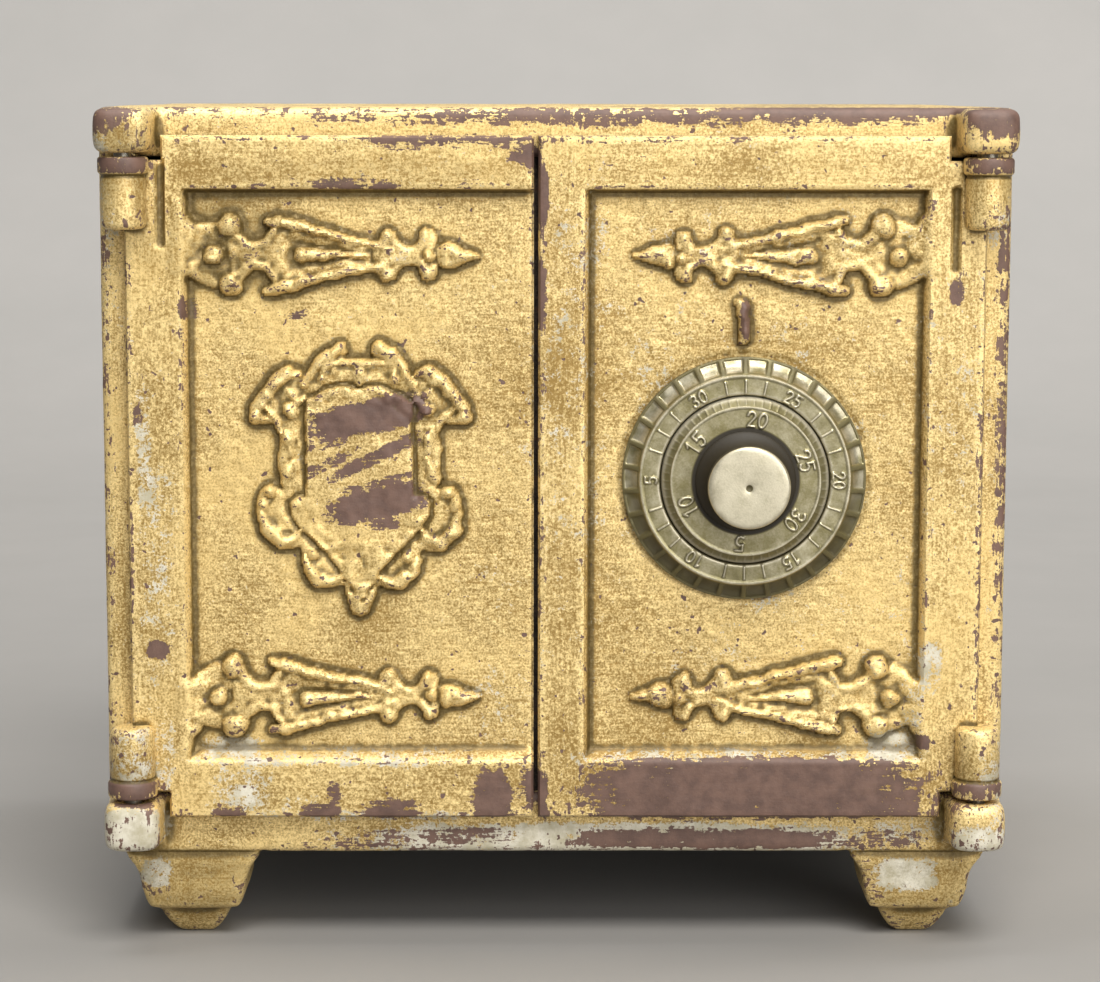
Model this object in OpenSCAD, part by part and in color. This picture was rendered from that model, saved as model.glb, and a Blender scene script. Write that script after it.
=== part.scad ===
// Toy safe coin bank: a cast iron case on four feet, two hinged front doors and a
// combination lock of two dials that turn two notched tumblers behind the right door.
// Millimetres, +Z up, the front faces -Y, the ground is z = 0, and the origin is the
// centre of the footprint of the whole object, knob included.

/* [Case] */
// Width across the side panels
case_w = 166; // [162:1:170]
// Depth from the front edges to the back edges
case_d = 118; // [104:1:134]
// Height of the top face above the ground
case_h = 155; // [152:0.2:158]
// Thickness of the top plate
top_t = 5.2; // [4.6:0.2:6]
// Height of the edge of the bottom plate
base_t = 6; // [5.4:0.2:6.6]
// Thickness of the side panels
side_t = 3.5; // [3:0.1:4]
// Thickness of the back panel
back_t = 4; // [3:0.2:5]
// Length of the coin slot
slot_l = 41; // [34:1:48]
// Width of the coin slot
slot_w = 4.8; // [4.4:0.1:6]

/* [Feet] */
// Height of the feet under the case
foot_h = 17; // [16:0.2:18]
// Width of a foot where it meets the case
foot_w = 25.6; // [24:0.2:27]
// Depth of a foot, front to back, where it meets the case
foot_d = 21.2; // [20:0.2:23]
// Width and depth of the block of a foot under its hollow curve
foot_block = 19.4; // [18:0.2:20]
// Width and depth of the pad under a foot where it meets the block
foot_pad = 12.6; // [12:0.2:14]

/* [Doors] */
// Where the two doors meet, measured from the middle of the case
meet_x = -3.6; // [-5:0.1:-2]
// Gap between the two doors
door_gap = 0.8; // [0.6:0.05:1.2]
// How far a door face stands in front of the case edges, over its seating gap
door_t = 3; // [2.6:0.1:3.4]
// Width of the rails and stiles round the sunk panels
rail_w = 10.2; // [9:0.1:11]
// Width of the stile of the right door beside the meeting line
stile_w = 8.2; // [7:0.1:9]
// Depth of the sunk panels
panel_depth = 2.5; // [2:0.1:2.8]
// Width of the slope round the sunk panels
panel_slope = 1.6; // [1:0.1:2]

/* [Hinges] */
// Radius of the hinge pins
pin_r = 1.6; // [1.3:0.1:1.9]
// Radius of the door knuckles
knuckle_r = 4.1; // [3.9:0.05:4.2]
// Height of a door knuckle
knuckle_h = 13; // [11:0.5:15]
// Width of the case lobes that hold the pins
lobe_w = 10.4; // [10:0.1:10.4]

/* [Dials] */
// Distance of the dials from the middle of the case
dial_x = 34.5; // [33:0.5:36]
// Height of the dials above the ground
dial_z = 87.6; // [84:0.2:91]
// Outer radius of the ring dial
ring_r = 22.3; // [21.5:0.1:23]
// Number of facets round the ring dial
ring_facets = 30; // [24:1:36]
// Radius of the inner dial
inner_r = 15.3; // [15:0.1:15.6]
// Radius of the knob at its face
knob_r = 7.5; // [7:0.1:8]
// Height of the knob above the inner dial
knob_h = 10.1; // [9:0.1:11]

/* [Lock] */
// Radius of the tumblers
tumbler_r = 27; // [26:0.5:28]
// Thickness of a tumbler
tumbler_t = 1.8; // [1.5:0.1:2]
// Width of the lock post
post_w = 6; // [5:0.5:6]
// Length of the turn button from its pivot to its end
button_l = 12.5; // [11.5:0.5:12.5]

/* [Hidden] */
$fn = 64;

gold = "#b8965a";
iron = "#4b4139";
steel = "#8d8a82";
nickel = "#b9b5a3";

seat_gap = 0.3;                     // air between a closed door and the case edge
e = 1;                              // overrun of a cutter past the face that it cuts
dial_rise = 2.9;                    // how far the inner dial stands over the door face
reach = dial_rise + knob_h;         // how far the knob stands over the door face
face_y = -(case_d + door_t + seat_gap - reach) / 2;  // plane of the door faces
front_y = face_y + door_t + seat_gap;                // plane of the case edges
back_y = front_y + case_d;
side_x = case_w / 2;
wall_x = side_x - side_t;           // inner face of a side panel
base_z = foot_h + base_t;           // top of the bottom plate
roof_z = case_h - top_t;            // underside of the top plate

lip_w = 4;                          // door stops: how far they reach into the opening
lip_d = 3;
opening_x = wall_x - lip_w;
door_edge_x = side_x - 4.9;         // outer edge of each door
door_z0 = base_z + 1.4;
door_z1 = roof_z + 0.1;
door_in_t = 2.2;                    // thickness of the part of a door inside the opening
door_back = door_t + door_in_t;
notch_x = side_x - 11.7;            // door corners are cut away beside the lobes
lobe_low_z1 = base_z + 5.4;
lobe_high_z0 = roof_z - 3.2;
lobe_gap = 0.5;
notch_z0 = lobe_low_z1 + 0.8;
notch_z1 = lobe_high_z0 - 1.2;
pin_x = side_x - 5.2;
pin_y = face_y - 1.5;
pin_play = 0.06;
collar_h = 3;
collar_grow = 0.45;

left_free_x = meet_x - door_gap / 2;
right_free_x = meet_x + door_gap / 2;
panel_x = door_edge_x - rail_w;     // outer edge of each sunk panel
panel_y = face_y + panel_depth;     // front of the sunk panels
door_back_y = face_y + door_back;
panel_z0 = door_z0 + rail_w;
panel_z1 = door_z1 - rail_w + 0.8;  // the top rail is a little narrower
strap_drop = 12.3;                  // strap centre line to the nearest panel edge
shield_x = -35.8;
shield_z = dial_z;

bore_r = 6.05;                      // bearing of the ring dial in the right door
sleeve_r = 6;
spindle_r = 4;
run_play = 0.05;
boss_y = door_back_y + 2.8;         // back of the bearing boss
washer_t = 0.5;
tumbler_a_y = boss_y + washer_t + 0.1;
tumbler_b_y = tumbler_a_y + tumbler_t + 3;
notch_depth = 7.5;
notch_h = 8.4;
tooth_h = 6;
tooth_air = 0.7;
post_x = meet_x - post_w / 2 + 0.1;
post_y = face_y + 6.6;
catch_t = 2.5;
tooth_x = dial_x - tumbler_r + 4;   // the teeth reach 4 mm behind the tumbler rims
rod_x = side_x - 10;
rod_y = (front_y + back_y) / 2;
rod_r = 2;
button_x = meet_x - 10.4;
button_z = dial_z - 25;
button_y = post_y + post_w + 0.5;   // the turn button swings just behind the post
button_t = 1.8;
screw_x = side_x - 9;               // back panel screws
screw_z = [base_z + 10, roof_z - 10];
back_in = 2;                        // the back panel lies this far inside the edges

// A box given by its lowest and highest corners
module slab(lo, hi) {
    translate(lo) cube(hi - lo);
}

// Extrudes an outline drawn in X and Z from y0 to y1
module face_extrude(y0, y1) {
    translate([0, y1, 0]) rotate([90, 0, 0]) linear_extrude(height = y1 - y0) children();
}

// Extrudes an outline drawn in Y and Z from x0 to x1
module side_extrude(x0, x1) {
    translate([x0, 0, 0]) rotate([90, 0, 90]) linear_extrude(height = x1 - x0) children();
}

// A round bar along Y
module bar_y(x, z, y0, y1, r) {
    translate([x, y0, z]) rotate([-90, 0, 0]) cylinder(r = r, h = y1 - y0);
}

// A round bar along X
module bar_x(x0, x1, y, z, r) {
    translate([x0, y, z]) rotate([0, 90, 0]) cylinder(r = r, h = x1 - x0);
}

// A square with round corners, centred on the origin
module round_square(w, r) {
    square([w, w - 2 * r], center = true);
    square([w - 2 * r, w], center = true);
    for (x = [-1, 1], y = [-1, 1]) translate([x, y] * (w / 2 - r)) circle(r = r);
}

// A slot outline of length l and width w along X
module slot_outline(l, w) {
    square([l - w, w], center = true);
    for (s = [-1, 1]) translate([s * (l - w) / 2, 0]) circle(r = w / 2);
}

// A sunk panel with sloping edges, cut into a face that looks along -Y at y
module front_pocket(x0, x1, z0, z1, y, depth, slope) {
    k = slope / depth;
    intersection() {
        translate([0, 0, z0 - e])
            linear_extrude(height = z1 - z0 + 2 * e)
                polygon([[x0 - k * e, y - e], [x1 + k * e, y - e],
                         [x1 - slope, y + depth], [x0 + slope, y + depth]]);
        side_extrude(x0 - e, x1 + e)
            polygon([[y - e, z0 - k * e], [y - e, z1 + k * e],
                     [y + depth, z1 - slope], [y + depth, z0 + slope]]);
    }
}

// Closes half an outline with its mirror image
function both_sides(p) = concat(p, [for (i = [len(p) - 1:-1:0]) [-p[i][0], p[i][1]]]);

// A lobe of the case that holds a hinge pin, on the side s
module hinge_lobe(s, z0, z1) {
    translate([s * pin_x, 0, z0]) linear_extrude(height = z1 - z0) difference() {
        union() {
            translate([0, pin_y]) round_square(lobe_w, 2.5);
            translate([-lobe_w / 2, pin_y]) square([lobe_w, front_y - pin_y]);
        }
        translate([-lobe_w, front_y]) square([2 * lobe_w, lobe_w]);
    }
}

// A slotted round screw head on its shank, pointing up
module screw(shank_r, shank_l, head_r, head_t) {
    cylinder(r = shank_r, h = shank_l);
    difference() {
        translate([0, 0, -head_t]) cylinder(r = head_r, h = head_t);
        translate([-head_r - e, -0.5, -head_t - e]) cube([2 * head_r + 2 * e, 1, e + 0.8]);
    }
}

// Outline of a foot w wide at its top, seen from the front or from the side: a hollow
// curve, a tapering block, a step and a rounded pad
module foot_outline(w) {
    step_z = 5.6;
    cove_z = foot_h - 0.4;
    cove_h = 7.2;
    half = foot_block / 2;
    pad = foot_pad / 2;
    cove = [for (t = [0:0.2:1]) [half + (w / 2 - half) * pow(1 - t, 2.2), cove_z - cove_h * t]];
    polygon(both_sides(concat([[w / 2, foot_h + 2]], cove,
                              [[half - 1, step_z + 0.5], [half - 1.4, step_z]])));
    polygon(both_sides([[pad, step_z + 0.1], [pad - 0.1, 4], [pad - 1, 2.4],
                        [pad - 2, 1], [pad - 3, 0]]));
}

module foot(x, y) {
    intersection() {
        face_extrude(y - foot_d / 2, y + foot_d / 2) translate([x, 0]) foot_outline(foot_w);
        side_extrude(x - foot_w / 2, x + foot_w / 2) translate([y, 0]) foot_outline(foot_d);
    }
}

module top_plate() {
    bevel = 0.8;
    boss_r = 5.5;
    boss_l = 6;
    color(gold) difference() {
        union() {
            intersection() {
                face_extrude(front_y, back_y)
                    polygon([[-side_x, roof_z], [side_x, roof_z], [side_x, case_h - bevel],
                             [side_x - bevel, case_h], [-side_x + bevel, case_h],
                             [-side_x, case_h - bevel]]);
                side_extrude(-side_x, side_x)
                    polygon([[front_y, roof_z], [back_y, roof_z], [back_y, case_h - bevel],
                             [back_y - bevel, case_h], [front_y + bevel, case_h],
                             [front_y, case_h - bevel]]);
            }
            slab([-opening_x, front_y, lobe_high_z0 - 0.7],
                 [opening_x, front_y + lip_d, roof_z + e]);
            for (s = [-1, 1]) {
                hinge_lobe(s, lobe_high_z0, case_h);
                slab([s * pin_x - lobe_w / 2 + 1, front_y - e, roof_z + 0.5],
                     [s * pin_x + lobe_w / 2 - 1, front_y + 3, case_h - 1]);
                translate([s * rod_x, rod_y, roof_z - boss_l])
                    cylinder(r = boss_r, h = boss_l + e);
            }
        }
        translate([0, rod_y, roof_z - e])
            linear_extrude(height = top_t + 2 * e) slot_outline(slot_l, slot_w);
        for (s = [-1, 1]) {
            translate([s * pin_x, pin_y, lobe_high_z0 - e])
                cylinder(r = pin_r + 0.02, h = case_h - lobe_high_z0 + 2 * e);
            translate([s * rod_x, rod_y, roof_z - boss_l - e])
                cylinder(r = rod_r + 0.1, h = boss_l + e + 3);
        }
        translate([post_x + post_w / 2, post_y + post_w / 2, roof_z - e])
            cylinder(r = 2.1, h = e + 3);
    }
}

module bottom_plate() {
    rim = 6;
    floor_t = 3.2;
    foot_x = side_x - 15.4;
    foot_front_y = front_y + foot_d / 2;
    foot_back_y = back_y - foot_d / 2;
    color(gold) difference() {
        union() {
            difference() {
                slab([-side_x, front_y, foot_h], [side_x, back_y, base_z]);
                slab([-side_x + rim, front_y + rim, foot_h - e],
                     [side_x - rim, back_y - rim, base_z - floor_t]);
            }
            slab([-opening_x, front_y, base_z - e],
                 [opening_x, front_y + lip_d, lobe_low_z1]);
            for (s = [-1, 1]) {
                hinge_lobe(s, foot_h + 2, lobe_low_z1);
                slab([s * pin_x - lobe_w / 2 + 1, front_y - e, foot_h + 2.5],
                     [s * pin_x + lobe_w / 2 - 1, front_y + 3, base_z - 0.5]);
                for (y = [foot_front_y, foot_back_y]) foot(s * foot_x, y);
            }
        }
        for (s = [-1, 1]) {
            translate([s * pin_x, pin_y, foot_h - e])
                cylinder(r = pin_r + 0.02, h = lobe_low_z1 - foot_h + 2 * e);
            translate([s * rod_x, rod_y, foot_h - e])
                cylinder(r = rod_r + 0.1, h = base_t + 2 * e);
            translate([s * rod_x, rod_y, foot_h - e])
                cylinder(r = 4.6, h = base_t - floor_t + e);
        }
        translate([post_x + post_w / 2, post_y + post_w / 2, foot_h - e]) {
            cylinder(r = 1.6, h = base_t + 2 * e);
            cylinder(r = 3.6, h = base_t - floor_t + e);
        }
    }
}

// The side panel for the side s, with its door stop, back stop and two screw lugs
module side_panel(s) {
    margin = 11;
    sink = 1.3;
    stop_y = back_y - back_in - back_t;
    mirror([s < 0 ? 1 : 0, 0, 0]) difference() {
        union() {
            slab([wall_x, front_y, base_z], [side_x, back_y, roof_z]);
            slab([opening_x, front_y, base_z], [wall_x + e, front_y + lip_d, roof_z]);
            slab([wall_x - 3, stop_y - 3, base_z], [wall_x + e, stop_y, roof_z]);
            for (z = screw_z)
                slab([wall_x - 10, stop_y - 3, z - 5], [wall_x + e, stop_y, z + 5]);
        }
        rotate([0, 0, 90])
            front_pocket(front_y + margin, back_y - margin, base_z + margin,
                         roof_z - margin, -side_x, sink, 1.2);
        for (z = screw_z) bar_y(screw_x, z, stop_y - 3 - e, stop_y + e, 1.6);
    }
}

module left_side_panel() { color(gold) side_panel(-1); }

module right_side_panel() { color(gold) side_panel(1); }

module back_panel() {
    margin = 12;
    y1 = back_y - back_in;
    fit = 0.15;
    color(gold) difference() {
        slab([-wall_x + fit, y1 - back_t, base_z], [wall_x - fit, y1, roof_z]);
        rotate([0, 0, 180])
            front_pocket(-wall_x + margin + 4, wall_x - margin - 4, base_z + margin,
                         roof_z - margin, -y1, 1.3, 1.2);
        for (s = [-1, 1], z = screw_z) bar_y(s * screw_x, z, y1 - back_t - e, y1 + e, 1.7);
    }
}

module back_screws() {
    color(steel) for (s = [-1, 1], z = screw_z)
        translate([s * screw_x, back_y - back_in, z])
            rotate([90, 0, 0]) screw(1.5, back_t + 2.6, 2.9, 1.6);
}

module tie_rods() {
    color(steel) for (s = [-1, 1])
        translate([s * rod_x, rod_y, base_z - 3.2])
            screw(rod_r, roof_z - base_z + 3.2 + 2.5, 4.2, 2.4);
}

module lock_post() {
    centre = [post_x + post_w / 2, post_y + post_w / 2];
    hole_l = 9;
    color(iron) difference() {
        union() {
            slab([post_x, post_y, base_z], [post_x + post_w, post_y + post_w, roof_z]);
            translate([centre[0], centre[1], roof_z - e]) cylinder(r = 2, h = e + 2.6);
        }
        translate([centre[0], centre[1], base_z - e]) cylinder(r = 1.5, h = hole_l + e);
        for (s = [-1, 1])
            bar_x(post_x + 1, post_x + post_w + e, centre[1], dial_z + s * 5.8, 1);
    }
}

module lock_post_screw() {
    color(steel)
        translate([post_x + post_w / 2, post_y + post_w / 2, base_z - 3.2])
            screw(1.45, 11, 3.2, 2);
}

// Two teeth on one plate: one stands in front of each tumbler's rim
module lock_catch() {
    x0 = post_x + post_w;
    tooth_a = [door_back_y + 1, tumbler_a_y - tooth_air];
    tooth_b = [tumbler_a_y + tumbler_t + tooth_air, tumbler_b_y - tooth_air];
    color(steel) difference() {
        union() {
            slab([x0, tooth_a[0], dial_z - 8.5], [x0 + catch_t, tooth_b[1], dial_z + 8.5]);
            for (t = [tooth_a, tooth_b])
                slab([x0, t[0], dial_z - tooth_h / 2], [tooth_x, t[1], dial_z + tooth_h / 2]);
        }
        for (s = [-1, 1])
            bar_x(x0 - e, x0 + catch_t + e, post_y + post_w / 2, dial_z + s * 5.8, 1.1);
    }
}

module catch_screws() {
    color(steel) for (s = [-1, 1])
        translate([post_x + post_w + catch_t, post_y + post_w / 2, dial_z + s * 5.8])
            rotate([0, -90, 0]) screw(0.95, catch_t + 4, 2, 1.2);
}

module upper_pin(s) {
    z0 = lobe_high_z0 - knuckle_h + 1.5;
    color(steel) translate([s * pin_x, pin_y, z0]) cylinder(r = pin_r, h = case_h - 0.3 - z0);
}

module lower_pin(s) {
    z0 = foot_h + 2.3;
    z1 = lobe_low_z1 + knuckle_h - 1.5;
    color(steel) translate([s * pin_x, pin_y, z0]) cylinder(r = pin_r, h = z1 - z0);
}

module left_upper_pin() { upper_pin(-1); }

module left_lower_pin() { lower_pin(-1); }

module right_upper_pin() { upper_pin(1); }

module right_lower_pin() { lower_pin(1); }

// Door knuckle from z0 up, with its collar at the end beside the case lobe
module knuckle(s, z0, collar_up) {
    translate([s * pin_x, pin_y, z0]) {
        cylinder(r = knuckle_r, h = knuckle_h);
        translate([0, 0, collar_up ? knuckle_h - collar_h : 0])
            cylinder(r = knuckle_r + collar_grow, h = collar_h);
    }
}

// Door without its ornament: s is the hinge side, free_x the edge at the meeting line
module door_blank(s, free_x, px0, px1) {
    outer = s * door_edge_x;
    inner = s * (opening_x - 1.2);
    lobe_cut = s * notch_x;
    z_low = lobe_low_z1 + lobe_gap;
    z_high = lobe_high_z0 - lobe_gap - knuckle_h;
    difference() {
        union() {
            difference() {
                slab([min(outer, free_x), face_y, door_z0],
                     [max(outer, free_x), face_y + door_t, door_z1]);
                for (z = [[door_z0 - e, notch_z0], [notch_z1, door_z1 + e]])
                    slab([min(lobe_cut, outer + s * e), face_y - e, z[0]],
                         [max(lobe_cut, outer + s * e), face_y + door_t + e, z[1]]);
            }
            slab([min(inner, free_x), face_y + door_t - e, notch_z0 + 0.4],
                 [max(inner, free_x), door_back_y, notch_z1 - 0.4]);
            knuckle(s, z_low, false);
            knuckle(s, z_high, true);
        }
        front_pocket(px0, px1, panel_z0, panel_z1, face_y, panel_depth, panel_slope);
        for (z = [z_low, z_high])
            translate([s * pin_x, pin_y, z - e])
                cylinder(r = pin_r + pin_play, h = knuckle_h + 2 * e);
    }
}

// Outline of a strap hinge ornament: it grows along +X from the stile at x = 0, and
// its upper side fills the corner of the sunk panel
module strap_outline() {
    polygon([[-2, strap_drop + 1], [2.6, strap_drop + 1], [2.6, 10.6], [6.8, 7.2],
             [9, 5], [10.5, 0], [9, -5], [5.6, -6.6], [2.6, -4.6], [0, -3.2], [-2, -3.2]]);
    for (s = [-1, 1]) translate([8.6, s * 5.4]) circle(r = 2.4);
    difference() {
        translate([8, -5.6]) square([10.2, 11.2]);
        for (s = [-1, 1]) translate([14.1, s * 5.3]) circle(r = 3);
    }
    strap_arms();
    difference() {
        translate([34, -4.2]) square([12.4, 8.4]);
        for (s = [-1, 1]) {
            translate([41.2, s * 4.3]) circle(r = 2.5);
            translate([33.6, s * 4.9]) circle(r = 2.2);
            translate([48, s * 4.4]) circle(r = 2);
        }
    }
    polygon([[46, 2.3], [48.5, 2.8], [53.2, 0], [48.5, -2.8], [46, -2.3]]);
}

module strap_arms() {
    polygon([[15.5, 2], [16.2, 5.2], [17.4, 6.7], [18.8, 6.7], [35, 2.6],
             [35, -2.6], [18.8, -6.7], [17.4, -6.7], [16.2, -5.2], [15.5, -2]]);
}

// Raised drop in the middle of a strap
module strap_drop_outline() {
    translate([22.3, 0]) circle(r = 2.1);
    polygon([[22.3, 2.1], [31, 0], [22.3, -2.1]]);
}

// Strap ornament in relief on the sunk panel: it grows from x towards sx, and sz is 1
// for the strap under the top rail and -1 for the one over the bottom rail
module strap(x, sx, sz) {
    base_h = 1.4;
    z = sz > 0 ? panel_z1 - strap_drop : panel_z0 + strap_drop;
    translate([x, 0, z]) scale([sx, 1, sz]) {
        face_extrude(panel_y - base_h, panel_y + 0.2) strap_outline();
        face_extrude(panel_y - base_h - 0.7, panel_y) strap_drop_outline();
        for (p = [[8.6, 5.4], [5.8, 0], [8.6, -5.4]])
            translate([p[0], panel_y - 0.2, p[1]]) sphere(r = 2.1);
        translate([44.8, panel_y - 0.6, 0]) sphere(r = 1.6);
    }
}

// Scrolled frame of the shield, as half an outline from its top to its pendant
function shield_frame() = both_sides([
    [1.6, 21.2], [2.8, 24.4], [5, 24.7], [7.4, 22], [9, 19.4], [10.8, 18], [12.6, 20],
    [14.6, 19.4], [17.2, 17], [19.4, 13.4], [19.6, 11.2], [18.2, 10.2], [15.8, 11],
    [14.2, 9], [14, -0.6], [15.8, -1.6], [18, -3.4], [18.8, -6], [18.2, -9.6],
    [16, -12], [13, -12.7], [10.8, -12], [10, -15.4], [8.4, -18.4], [6, -19.6],
    [3.2, -19.4], [1.8, -21], [1.3, -24], [0.5, -25.6]]);

// Plate of the shield inside its frame
function shield_plate() = both_sides([
    [3, 16.6], [6.4, 15.4], [10.2, 14.4], [9.4, 11], [9.4, -4], [12.2, -5.2],
    [11.4, -8.2], [4.2, -16.4], [0.8, -20]]);

module shield() {
    translate([shield_x, 0, shield_z]) {
        face_extrude(panel_y - 1.3, panel_y + 0.2) polygon(shield_frame());
        face_extrude(panel_y - 1.9, panel_y) polygon(shield_plate());
    }
}

module left_door() {
    boss_r = 5;
    color(gold) difference() {
        union() {
            door_blank(-1, left_free_x, -panel_x, left_free_x + 5);
            for (s = [-1, 1]) strap(-panel_x, 1, s);
            shield();
            bar_y(button_x, button_z, door_back_y - e, button_y - 0.3, boss_r);
        }
        bar_y(button_x, button_z, door_back_y, button_y, 1.7);
    }
}

module right_door() {
    boss_r = 11;
    mark_l = 7.4;
    mark_w = 2.2;
    color(gold) difference() {
        union() {
            door_blank(1, right_free_x, right_free_x + stile_w, panel_x);
            for (s = [-1, 1]) strap(panel_x, -1, s);
            face_extrude(panel_y - 1.3, panel_y + 0.2)
                translate([dial_x, dial_z + 29.2]) rotate(90) slot_outline(mark_l, mark_w);
            bar_y(dial_x, dial_z, door_back_y - e, boss_y, boss_r);
        }
        bar_y(dial_x, dial_z, panel_y - 3, boss_y + e, bore_r);
    }
}

module turn_button() {
    half = 3.2;
    color(iron) difference() {
        union() {
            bar_y(button_x, button_z, button_y, button_y + button_t, 4.6);
            slab([button_x - half, button_y, button_z - button_l],
                 [button_x + half, button_y + button_t, button_z]);
        }
        bar_y(button_x, button_z, button_y - e, button_y + button_t + e, 2.5 + run_play);
    }
}

module button_washer() {
    y0 = button_y + button_t + 0.1;
    color(steel) difference() {
        bar_y(button_x, button_z, y0, y0 + washer_t, 4);
        bar_y(button_x, button_z, y0 - e, y0 + washer_t + e, 2.55);
    }
}

// Shoulder screw that the turn button swings on
module button_screw() {
    y1 = button_y + button_t + 0.1 + washer_t;
    color(steel) {
        bar_y(button_x, button_z, button_y - 0.3, y1, 2.5);
        translate([button_x, y1, button_z]) rotate([90, 0, 0])
            screw(1.6, y1 - door_back_y - 0.6, 4, 1.6);
    }
}

// Ring dial: a dished disc with a faceted sloping rim round a flat ring
module outer_dial() {
    back = panel_y - 0.3;
    web_y = back - 1.3;
    top_y = face_y - 1.3;
    flat_r = 19.2;
    edge_t = 1.2;
    color(nickel) difference() {
        translate([dial_x, back, dial_z]) rotate([90, 0, 0]) rotate_extrude($fn = 120)
            polygon([[sleeve_r, 0], [ring_r, 0], [ring_r, edge_t], [flat_r, back - top_y],
                     [inner_r + 0.25, back - top_y], [inner_r + 0.25, back - web_y],
                     [sleeve_r, back - web_y]]);
        for (i = [0:ring_facets - 1])
            translate([dial_x, 0, dial_z]) rotate([0, i * 360 / ring_facets, 0])
                translate([-0.35, top_y - e, flat_r + 0.8])
                    cube([0.7, back - edge_t / 2 - top_y + e, 6]);
    }
}

// Tube that carries the ring dial and its tumbler through the door
module outer_sleeve() {
    y0 = panel_y - 1.6;
    y1 = tumbler_a_y + tumbler_t + 1;
    color(steel) difference() {
        bar_y(dial_x, dial_z, y0, y1, sleeve_r);
        bar_y(dial_x, dial_z, y0 - e, y1 + e, spindle_r + run_play);
    }
}

module outer_washer() {
    color(steel) difference() {
        bar_y(dial_x, dial_z, boss_y + 0.05, boss_y + 0.05 + washer_t, 9.5);
        bar_y(dial_x, dial_z, boss_y - e, boss_y + washer_t + e, sleeve_r + 0.1);
    }
}

// Tumbler: a disc with one notch in its rim that lets the catch tooth through
module tumbler(y, hole_r) {
    difference() {
        bar_y(dial_x, dial_z, y, y + tumbler_t, tumbler_r);
        bar_y(dial_x, dial_z, y - e, y + tumbler_t + e, hole_r);
        slab([dial_x - tumbler_r - e, y - e, dial_z - notch_h / 2],
             [dial_x - tumbler_r + notch_depth, y + tumbler_t + e, dial_z + notch_h / 2]);
    }
}

module outer_tumbler() { color(iron) tumbler(tumbler_a_y, sleeve_r); }

module inner_tumbler() { color(iron) tumbler(tumbler_b_y, spindle_r); }

module inner_dial() {
    back = panel_y - 1.9;
    flat_r = 13.65;
    color(nickel) translate([dial_x, back, dial_z]) rotate([90, 0, 0])
        rotate_extrude($fn = 120)
            polygon([[spindle_r, 0], [inner_r, 0], [inner_r, 1.9],
                     [flat_r, back - face_y + dial_rise],
                     [spindle_r, back - face_y + dial_rise]]);
}

module knob() {
    base_r = 9.2;
    waist_r = 6.9;
    bore_l = 6;
    round_r = 0.6;
    color(nickel) translate([dial_x, face_y - dial_rise, dial_z]) rotate([90, 0, 0])
        rotate_extrude() difference() {
            union() {
                polygon([[0, 0], [base_r, 0], [base_r, 0.7], [waist_r, 3.2], [waist_r, 4.4],
                         [knob_r, knob_h - 2.4], [knob_r, knob_h - round_r],
                         [knob_r - round_r, knob_h], [0, knob_h]]);
                translate([knob_r - round_r, knob_h - round_r]) circle(r = round_r);
            }
            translate([-e, -e]) square([spindle_r + e, bore_l + e]);
            translate([-e, knob_h - 0.4]) square([0.5 + e, 1]);
        }
}

module spindle() {
    color(steel)
        bar_y(dial_x, dial_z, face_y - dial_rise - 6, tumbler_b_y + tumbler_t + 4, spindle_r);
}

module spacer_washer() {
    y0 = tumbler_a_y + tumbler_t + 1.1;
    color(steel) difference() {
        bar_y(dial_x, dial_z, y0, tumbler_b_y, 7);
        bar_y(dial_x, dial_z, y0 - e, tumbler_b_y + e, spindle_r);
    }
}

module spindle_nut() {
    y0 = tumbler_b_y + tumbler_t;
    color(steel) difference() {
        translate([dial_x, y0, dial_z]) rotate([-90, 0, 0]) cylinder(r = 7.4, h = 3.2, $fn = 6);
        bar_y(dial_x, dial_z, y0 - e, y0 + 3.2 + e, spindle_r);
    }
}

top_plate();
bottom_plate();
left_side_panel();
right_side_panel();
back_panel();
back_screws();
tie_rods();
lock_post();
lock_post_screw();
lock_catch();
catch_screws();
left_upper_pin();
left_lower_pin();
right_upper_pin();
right_lower_pin();
left_door();
turn_button();
button_washer();
button_screw();
right_door();
outer_dial();
outer_sleeve();
outer_washer();
outer_tumbler();
inner_dial();
knob();
spindle();
spacer_washer();
inner_tumbler();
spindle_nut();
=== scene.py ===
"""A toy safe coin bank in cast iron: gold paint worn down to brown lacquer, two doors with
relief ornament, and a nickelled combination dial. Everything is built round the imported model."""
import math

import bmesh
import bpy
import numpy as np
from mathutils import Matrix, Vector


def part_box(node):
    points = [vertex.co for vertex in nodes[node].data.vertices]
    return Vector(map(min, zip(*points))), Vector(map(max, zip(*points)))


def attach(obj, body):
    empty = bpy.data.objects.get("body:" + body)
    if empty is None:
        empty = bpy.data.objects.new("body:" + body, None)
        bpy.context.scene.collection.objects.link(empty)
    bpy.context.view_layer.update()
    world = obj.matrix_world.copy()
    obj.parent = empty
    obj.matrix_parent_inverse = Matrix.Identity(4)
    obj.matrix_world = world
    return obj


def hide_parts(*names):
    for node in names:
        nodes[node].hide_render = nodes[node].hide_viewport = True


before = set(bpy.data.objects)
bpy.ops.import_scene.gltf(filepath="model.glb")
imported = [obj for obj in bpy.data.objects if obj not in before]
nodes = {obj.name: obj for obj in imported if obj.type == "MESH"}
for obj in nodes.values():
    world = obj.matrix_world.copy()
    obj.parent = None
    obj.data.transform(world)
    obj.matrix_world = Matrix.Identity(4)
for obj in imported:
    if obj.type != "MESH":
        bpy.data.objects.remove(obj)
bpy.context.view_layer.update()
scene = bpy.context.scene
MM = 0.001


# -------- places, in millimetres

def box_mm(node):
    """Lowest and highest corner of a CAD node, in millimetres."""
    low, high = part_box(node)
    return np.array(low) / MM, np.array(high) / MM


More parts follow.
